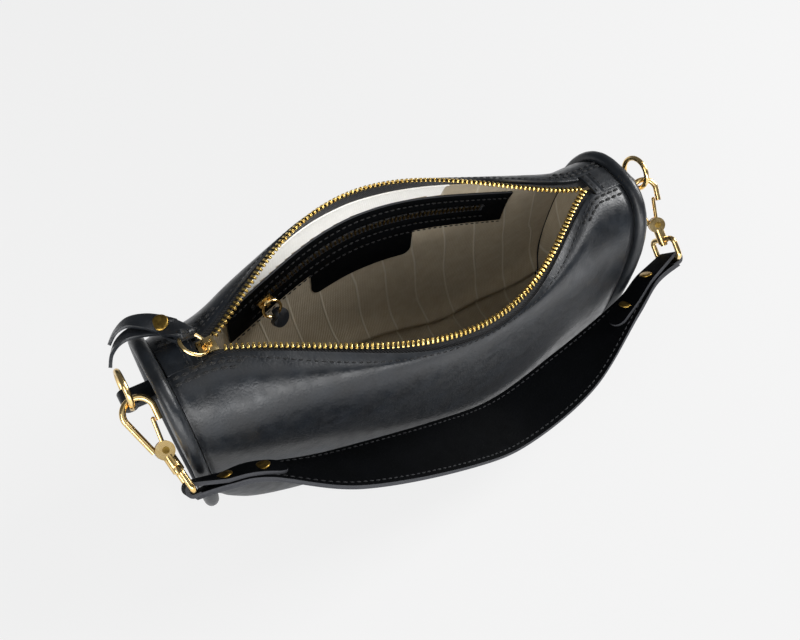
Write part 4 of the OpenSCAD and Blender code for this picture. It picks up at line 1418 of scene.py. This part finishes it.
    def build(self) -> None:
        """Build the whole sub-assembly."""
        self.facing()
        self.bare_patch()
        reach = (self.zip_length + self.zip_width) / 2
        x = np.linspace(-reach, reach, 90)
        tape = self.band("pocket_tape_weave", x, np.full_like(x, self.zip_drop + 5), np.full_like(x, self.zip_drop - 5),
                         self.form.pocket_in, self.tape_t)
        hand_over(dress(tape, self.finishes.tape), "bag", Slot.TAPE, "pocket_tape")
        self.small_teeth()
        self.pouch()
        self.stitches()
        slider = rounded_copy("pocket_slider", "pocket_slider_cast", 0.22, self.finishes.gold)
        hand_over(slider, "pocket_slider_body", Slot.GOLD, "pocket_slider")
        puck = rounded_copy("pocket_pull", "pocket_pull_leather", 0.5, self.finishes.leather)
        self.twist(puck)
        hand_over(puck, "pocket_pull_body", Slot.LEATHER, "pocket_pull")


@dataclass
class Rivet:
    """A tubular rivet with domed caps, turned from sheet brass."""

    cap: float = 4.0
    steps: int = 40

    def cap_model(self) -> Model:
        """Spin one cap's profile into a low dome with a rolled rim."""
        bpy.ops.mesh.primitive_circle_add(vertices=self.steps, radius=self.cap * MM, fill_type="NGON")
        piece = bpy.context.active_object
        with editing(piece):
            bpy.ops.mesh.select_mode(type="FACE")
            bpy.ops.mesh.extrude_region_move(TRANSFORM_OT_translate={"value": (0, 0, 0.25 * MM)})
            for inset, lift in ((0.10, 0.22), (0.25, 0.24), (0.55, 0.18), (0.9, 0.10), (1.1, 0.01)):
                bpy.ops.mesh.inset(thickness=inset * MM, depth=0)
                bpy.ops.transform.translate(value=(0, 0, lift * MM))
        return mesh_model(piece)

    def set_caps(self, name: str, places: Sequence[tuple[Array, Array]]) -> Piece:
        """Set caps at places, each with the direction that its dome faces."""
        frames = []
        for place, out in places:
            side = unit(np.cross(out, np.array([0.3, 0.9, 0.2])))
            frames.append(np.stack([side, np.cross(out, side), out, place], 1))
        return repeat_model(name, self.cap_model(), np.array(frames))


@dataclass
class Strap:
    """The shaped strap of two leathers, its folded ends, its stitches and its rivets."""

    form: BagForm
    finishes: Finishes
    stitching: Stitching
    strap_w: float = 36.0
    end_w: float = 13.2
    thickness: float = 3.0
    fold_t: float = 1.8
    fold_rows: tuple[float, float] = (0.25, 2.35)
    edge_row: float = 2.6
    gap: float = 0.3
    hook_wire: float = 1.5
    bar_gap: float = 0.4
    ring_z: float = 123.5
    eye_z: float = 34.0
    bar_z: float = -14.18
    hook_lean: tuple[float, float, float] = (0, -0.82, -0.57)
    eye_ins: tuple[float, float] = (5.1, 4.8)
    eye_xs: tuple[float, float] = (0.4, 0.7)
    ring_xs: tuple[float, float] = (-148.5, 151.0)
    shares: tuple[tuple[float, ...], ...] = (
        (-0.9185, -0.6838, 0.69, 0.5, 0.417), (-0.7852, -0.7, 0.65, 0.389, 0.472),
        (-0.5074, -0.8676, 0.5475, 0.278, 0.917), (-0.023, -0.9191, 0.34, 0.122, 1),
        (0.3111, -0.8868, 0.226, 0.089, 1), (0.6407, -0.8382, 0.349, 0.144, 0.944),
        (0.9185, -0.7059, 0.521, 0.333, 0.556), (1.0222, -0.6544, 0.635, 0.456, 0.43))
    hook_dirs: tuple[tuple[float, ...], ...] = ((-0.18, 0.81, 0.555), (-0.03, 0.796, 0.604))

    def bar(self, end: End) -> tuple[Array, Array]:
        """Middle of a loop's lower bar and its direction."""
        k = 0 if end is End.LEFT else 1
        eye = np.array([self.ring_xs[k] + self.eye_xs[k], 0, self.ring_z]) + self.eye_ins[k] * np.array(self.hook_lean)
        z = unit(np.array(self.hook_dirs[k]))
        return eye - z * self.eye_z + z * self.bar_z, unit(np.array([0, -z[2], z[1]]))

    @staticmethod
    def side_of(turn: Array) -> Array:
        """Direction of the strap's width for a turn in degrees."""
        t = np.radians(turn)
        return np.stack([np.zeros_like(t), -np.cos(t), np.sin(t)], -1)

    @staticmethod
    def out_of(turn: Array) -> Array:
        """Direction of the strap's lower face."""
        t = np.radians(turn)
        return np.stack([np.zeros_like(t), -np.sin(t), -np.cos(t)], -1)

    def end_turn(self, end: End) -> float:
        """Turn of the strap's width at a loop."""
        d = self.bar(end)[1]
        return math.degrees(math.atan2(d[2], -d[1]))

    def rows(self) -> Array:
        """The strap's rows: place, turn and width."""
        ends = []
        stand = self.hook_wire + self.bar_gap + self.thickness / 2
        for end in End:
            turn = self.end_turn(end)
            place = self.bar(end)[0] + stand * self.out_of(np.array(turn))
            ends.append([*place, turn, self.end_w])
        inner = np.array(self.shares) * (self.form.half_l, self.form.end_d, self.form.top_z, 90, self.strap_w)
        return np.array([ends[0], *inner, ends[1]])

    def at(self, w: Array) -> Array:
        """The strap at places counted in rows from its left end."""
        rows = self.rows()
        last = len(rows) - 1
        i = np.clip(np.floor(w).astype(int), 0, last - 1)
        t = (w - i)[:, None]
        a, b, c, d = rows[np.maximum(0, i - 1)], rows[i], rows[i + 1], rows[np.minimum(last, i + 2)]
        return (2 * b + (c - a) * t + (2 * a - 5 * b + 4 * c - d) * t ** 2 + (3 * b - a - 3 * c + d) * t ** 3) / 2

    def layer(self, name: str, top: bool) -> Piece:
        """Make one of the two leathers."""
        last = len(self.rows()) - 1
        half_t = self.thickness / 2 - 0.05

        def place(w: Array, k: Array) -> Array:
            """Points on the layer's outer face, k from -1 to 1 over the width."""
            row = self.at(w)
            out, side = self.out_of(row[:, 3]), self.side_of(row[:, 3])
            lift = (-1 if top else 1) * (self.thickness / 2 - 0.25 * np.abs(k) ** 8)
            return row[:, :3] + out * lift[:, None] + side * (k * row[:, 4] / 2)[:, None]

        width = np.sin(np.linspace(-math.pi / 2, math.pi / 2, 25))
        piece = lay_grid(name, np.linspace(0, last, 260), width if top else width[::-1], place)
        face_towards(piece, 2, 1 if top else -1)
        dress(piece, self.finishes.matt_leather if top else self.finishes.leather, self.finishes.edge)
        thicken(piece, half_t, rim=1, soften=0.3)
        return piece

    def fold(self, end: End) -> Piece:
        """Make the single leather that goes round a loop's bar and back over the strap, with a rounded end."""
        bar, along = self.bar(end)
        out = self.out_of(np.array(self.end_turn(end)))
        away = unit(np.cross(along, out))
        away = away if away[0] * end > 0 else -away
        radius = self.hook_wire + self.bar_gap + self.fold_t / 2
        last = len(self.rows()) - 1
        lift = -(self.thickness + self.fold_t) / 2 - self.gap
        start = 0 if end is End.LEFT else last
        inner = self.at(np.array([start - end * self.fold_rows[0]]))[0]
        path = [inner[:3] + self.out_of(np.array(inner[3])) * (self.fold_t - self.thickness) / 2]
        sides = [along]
        for a in np.radians(np.linspace(90, -90, 16)):
            path.append(bar + radius * (math.sin(a) * out + math.cos(a) * away))
            sides.append(along)
        for w in np.linspace(1, self.fold_rows[1], 12):
            row = self.at(np.array([start - end * w]))[0]
            path.append(row[:3] + self.out_of(np.array(row[3])) * lift)
            sides.append(self.side_of(np.array(row[3])))
        path, sides = np.array(path), np.array(sides)
        sides *= np.sign((sides * along).sum(1))[:, None]
        reach = reach_along(path)
        half = self.end_w / 2
        stops = np.concatenate([np.linspace(0, reach[-1] - half, 70), reach[-1] - half + half * np.sin(
            np.linspace(0.06, math.pi / 2 * 0.995, 14))])
        line, wide = read_at(stops, reach, path), unit(read_at(stops, reach, sides))
        left = np.clip(reach[-1] - stops, 0, half)
        halves = np.sqrt(np.clip(half ** 2 - (half - left) ** 2, 0.01, None))
        ahead = unit(np.gradient(line, axis=0))
        up = unit(np.cross(wide, ahead))
        facing = np.sign((up[-1] * -self.out_of(np.array(0.0))).sum())
        number = np.arange(len(stops))

        def place(n: Array, k: Array) -> Array:
            """Points on the fold's outer face."""
            i = np.rint(n).astype(int)
            return line[i] + facing * up[i] * self.fold_t / 2 + wide[i] * (k * halves[i])[:, None]

        piece = lay_grid(f"strap_fold_{end.word}", number, np.linspace(-1, 1, 13), place)
        where = np.array([f.center for f in piece.data.polygons]) / MM
        normals = np.array([f.normal for f in piece.data.polygons])
        near = np.argsort(np.linalg.norm(where - line[-8], axis=1))[:20]
        if (normals[near] @ (facing * up[-8])).mean() < 0:
            flip(piece)
        dress(piece, self.finishes.matt_leather, self.finishes.edge)
        thicken(piece, self.fold_t, rim=1, soften=0.3)
        return piece

    def stitches(self) -> None:
        """Sew both edges, on both faces."""
        last = len(self.rows()) - 1
        rows = []
        w = np.linspace(1.0, last - 1.0, 400)
        row = self.at(w)
        out, side = self.out_of(row[:, 3]), self.side_of(row[:, 3])
        for face in (-1, 1):
            for edge in (-1, 1):
                across = edge * (row[:, 4] / 2 - self.edge_row)
                middle = row[:, :3] + side * across[:, None] + out * face * self.thickness / 2
                rows.append((middle, out * face))
        piece = self.stitching.sew("stitches_strap", rows, lift=0.05)
        hand_over(dress(piece, self.finishes.thread), "strap_body", Slot.LEATHER)

    def rivets(self, end: End) -> None:
        """Set the caps on both faces of one end."""
        last = len(self.rows()) - 1
        lift = -(self.thickness + self.fold_t) / 2 - self.gap - self.fold_t / 2
        places = []
        for w in (1, 2):
            row = self.at(np.array([float(w if end is End.LEFT else last - w)]))[0]
            out = self.out_of(np.array(row[3]))
            places += [(row[:3] + out * lift, -out), (row[:3] + out * self.thickness / 2, out)]
        piece = Rivet().set_caps(f"rivet_caps_{end.word}", places)
        hand_over(dress(piece, self.finishes.brass), "strap_body", Slot.GOLD, f"strap_rivets_{end.word}")

    def build(self) -> None:
        """Build the whole sub-assembly."""
        top = self.layer("strap_top_leather", True)
        hand_over(top, "strap_body", Slot.LEATHER, "strap")
        hand_over(self.layer("strap_under_leather", False), "strap_body", Slot.LEATHER)
        for end in End:
            hand_over(self.fold(end), "strap_body", Slot.LEATHER)
            self.rivets(end)
        self.stitches()


def side_tabs(finishes: Finishes) -> None:
    """Make the leather tabs that hold the side rings."""
    for end in End:
        tab = rounded_copy(f"tab_{end.word}", f"tab_{end.word}_leather", 0.3, finishes.leather)
        hand_over(tab, "bag", Slot.LEATHER, f"tab_{end.word}")


@dataclass
class ZipPull:
    """The slider's leather pull: a strip folded through the ring, riveted, and cut into two tails."""

    finishes: Finishes
    slider_x: float = -108.95
    crown_z: float = 132.2
    ring_r: float = 6.6
    wire: float = 0.9
    slack: float = 0.35
    tilt: float = 30.0
    fold_at: float = 70.0
    turn: float = 50.0
    far: float = 11.0
    rise: float = 1.0
    thickness: float = 1.5
    upper_tail: tuple[tuple[Any, ...], ...] = (
        ((-129.5, 18.4, 140.0), (0.4, 0.9, -0.1), 4.2), ((-136.0, 21.4, 139.6), (0.2, 0.9, -0.35), 3.5),
        ((-142.0, 20.8, 137.4), (0.1, 0.75, -0.65), 2.5), ((-146.6, 18.2, 133.8), (0.05, 0.62, -0.78), 1.5))
    lower_tail: tuple[tuple[Any, ...], ...] = (
        ((-150.4, 7.6, 132.2), (0.05, 0.62, -0.78), 1.5), ((-147.6, 11.6, 135.3), (0.05, 0.62, -0.78), 2.3),
        ((-142.0, 15.4, 137.4), (0.0, 0.86, -0.5), 3.0), ((-134.0, 16.4, 137.7), (0.3, 0.93, -0.2), 3.8))

    def turned(self, v: Sequence[float]) -> Array:
        """Turn a direction from the ring's plane into the bag's."""
        t = math.radians(self.tilt)
        return np.array([v[0] * math.cos(t), v[1], -v[0] * math.sin(t)])

    def fold_place(self) -> tuple[Array, Array]:
        """Where the ring carries the fold: the place, and the direction there from the ring's middle."""
        f = math.radians(self.fold_at)
        radial = self.turned([-math.cos(f), math.sin(f), 0])
        middle = np.array([self.slider_x, 0, self.crown_z]) + self.turned([-self.ring_r, 0, 0])
        return middle + self.ring_r * radial, radial

    def near(self) -> Array:
        """Middle of the rivet."""
        return self.fold_place()[0] + self.heading(self.turn) * self.far + np.array([0, 0, self.rise])

    def strip(self) -> Piece:
        """Lay the strip from the tip of one tail through the ring to the tip of the other."""
        f = math.radians(self.fold_at)
        ring, radial = self.fold_place()
        tangent = self.turned([math.sin(f), math.cos(f), 0])
        up = np.cross(tangent, radial)
        reach = self.wire + self.slack + self.thickness / 2
        near, flat, stack = self.near(), np.array([0.766, 0.643, 0]), np.array([0, 0, 0.9])
        back = 4 * self.heading(-130)
        loop = [ring + reach * (up * math.sin(a) - radial * math.cos(a)) for a in np.radians([-90, -45, 0, 45, 90])]
        rows = [*self.lower_tail, (near - stack - 3 * self.heading(20), (0.6, 0.8, 0), 4.4),
                (near - stack + back, flat, 4.6), *((p, tangent, 4.7) for p in loop),
                (near + stack + back, flat, 4.7), (near + stack, flat, 4.6), *self.upper_tail]
        table = smooth_line(np.array([[*p, *side, w] for p, side, w in rows]), 8)
        return lay_ribbon("leather_pull_strip", table[:, :3], table[:, 3:6], table[:, 6], self.thickness)

    @staticmethod
    def heading(a: float) -> Array:
        """A direction over the bag's left end."""
        return np.array([-math.cos(math.radians(a)), math.sin(math.radians(a)), 0.0])

    def build(self) -> None:
        """Build the whole sub-assembly."""
        slider = rounded_copy("zip_slider", "zip_slider_cast", 0.25, self.finishes.gold)
        hand_over(slider, "zip_slider_body", Slot.GOLD, "zip_slider")
        strip = dress(self.strip(), self.finishes.leather, self.finishes.edge)
        hand_over(strip, "pull_body", Slot.LEATHER, "leather_pull")
        near = self.near()
        half = self.thickness + 0.15
        up = np.array([0.0, 0, 1])
        out = unit(np.array([-0.28, -0.10, 1.0]))
        caps = Rivet().set_caps("pull_rivet_caps", [(near + up * (half + 0.45), out), (near - up * half, -up)])
        hand_over(dress(caps, self.finishes.brass), "pull_body", Slot.GOLD, "pull_rivet")


@dataclass
class Studio:
    """Floor, soft light and the camera. Lamps: name, place and aim in metres, size in metres, power in watts."""

    floor: str = "#F1F1F1"
    room: str = "#E8ECF2"
    room_strength: float = 0.15
    floor_share: float = 0.93
    lens: float = 39.66
    eye: tuple[float, float, float] = (-177.53, -225.55, 460.78)
    right: tuple[float, float, float] = (0.84795, -0.52376, 0.08161)
    up: tuple[float, float, float] = (0.37943, 0.70724, 0.59652)
    forward: tuple[float, float, float] = (0.37015, 0.47486, -0.79844)
    lamps: tuple[tuple[Any, ...], ...] = (
        ("key", (0.85, -0.08, 0.76), (0.0, 0.0, 0.10), (0.5, 0.5), 13.0),
        ("top", (0.05, -0.30, 0.90), (0.0, 0.0, 0.08), (0.6, 0.6), 1.0),
        ("left", (-0.72, -0.34, 0.50), (-0.06, 0.0, 0.08), (0.4, 0.4), 3.0),
        ("front", (-0.35, -0.95, 0.30), (0.0, 0.0, 0.13), (1.4, 0.4), 11.0))

    def camera(self) -> None:
        """Place the camera where the photograph was taken from."""
        data = bpy.data.cameras.new("camera")
        data.lens, data.sensor_width = self.lens, 36.0
        data.clip_start, data.clip_end = 0.01, 20.0
        camera = bpy.data.objects.new("camera", data)
        bpy.context.scene.collection.objects.link(camera)
        turn = Matrix((Vector(self.right), Vector(self.up), -Vector(self.forward))).transposed().to_4x4()
        camera.matrix_world = Matrix.Translation(Vector(self.eye) * MM) @ turn
        bpy.context.scene.camera = camera

    def lamp(self, name: str, place: tuple[float, float, float], aim: tuple[float, float, float],
             size: tuple[float, float], power: float) -> None:
        """Hang one soft lamp.

        Args:
            name: Its name.
            place: Where it hangs, in metres.
            aim: What it points at, in metres.
            size: Its width and height, in metres.
            power: Its power in watts.
        """
        data = bpy.data.lights.new(name, "AREA")
        data.shape, data.size, data.size_y, data.energy = "RECTANGLE", size[0], size[1], power
        lamp = bpy.data.objects.new(name, data)
        bpy.context.scene.collection.objects.link(lamp)
        lamp.location = place
        lamp.rotation_mode = "QUATERNION"
        lamp.rotation_quaternion = (Vector(aim) - Vector(place)).to_track_quat("-Z", "Y")

    def world(self) -> None:
        """Set the even room light, and the pale room that the camera and the metal see."""
        world = bpy.data.worlds.new("room")
        bpy.context.scene.world = world
        world.use_nodes = True
        tree = world.node_tree
        tree.nodes.clear()
        path = add_node(tree, "ShaderNodeLightPath")
        room = add_node(tree, "ShaderNodeBackground", inputs={
            "Color": linear(self.room), "Strength": self.room_strength})
        seen = add_node(tree, "ShaderNodeBackground", inputs={"Color": linear(self.floor), "Strength": 1.0})
        mix = add_node(tree, "ShaderNodeMixShader", inputs={
            0: path.outputs["Is Camera Ray"], 1: room.outputs[0], 2: seen.outputs[0]})
        add_node(tree, "ShaderNodeOutputWorld", inputs={0: mix.outputs[0]})

    def ground(self) -> None:
        """Lay the floor, pale by its own colour, with the bag's soft shadow."""
        bpy.ops.mesh.primitive_plane_add(size=8)
        floor = bpy.context.active_object
        floor.name = "floor"
        material, tree, body = start_material("floor_paper", {"Roughness": 0.9, "Specular IOR Level": 0.1})
        body.inputs["Base Color"].default_value = linear(self.floor)
        output = next(n for n in tree.nodes if n.type == "OUTPUT_MATERIAL")
        path = add_node(tree, "ShaderNodeLightPath")
        shown = add_node(tree, "ShaderNodeEmission", inputs={"Color": linear(self.floor), "Strength": 1.0})
        part = add_node(tree, "ShaderNodeMath", {"operation": "MULTIPLY"}, {
            0: path.outputs["Is Camera Ray"], 1: self.floor_share})
        mix = add_node(tree, "ShaderNodeMixShader", inputs={
            0: part.outputs[0], 1: body.outputs[0], 2: shown.outputs[0]})
        tree.links.new(mix.outputs[0], output.inputs["Surface"])
        floor.data.materials.append(material)

    def build(self) -> None:
        """Set up the studio."""
        self.camera()
        self.world()
        self.ground()
        for lamp in self.lamps:
            self.lamp(*lamp)
        bpy.context.scene.view_settings.view_transform = "Standard"


def dress_solids(finishes: Finishes) -> None:
    """Give the rigid solids that stay as they are their materials."""
    for name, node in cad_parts.items():
        if node.hide_render:
            continue
        pin = name.startswith(("gate_pin", "gate_spring"))
        dress(node, finishes.board if name == "base_board" else finishes.brass if pin else finishes.gold)


def main() -> None:
    """Build everything in order."""
    logging.basicConfig(level=logging.INFO, format="%(message)s")
    Studio().build()
    finishes = Finishes()
    stitching = Stitching()
    OuterLeather(FORM, finishes, stitching).build()
    pocket = Pocket(FORM, finishes, stitching)
    Lining(FORM, finishes, pocket=pocket).build()
    MainZip(FORM, finishes).build()
    pocket.build()
    side_tabs(finishes)
    ZipPull(finishes).build()
    Strap(FORM, finishes, stitching).build()
    dress_solids(finishes)


if __name__ == "__main__":
    main()
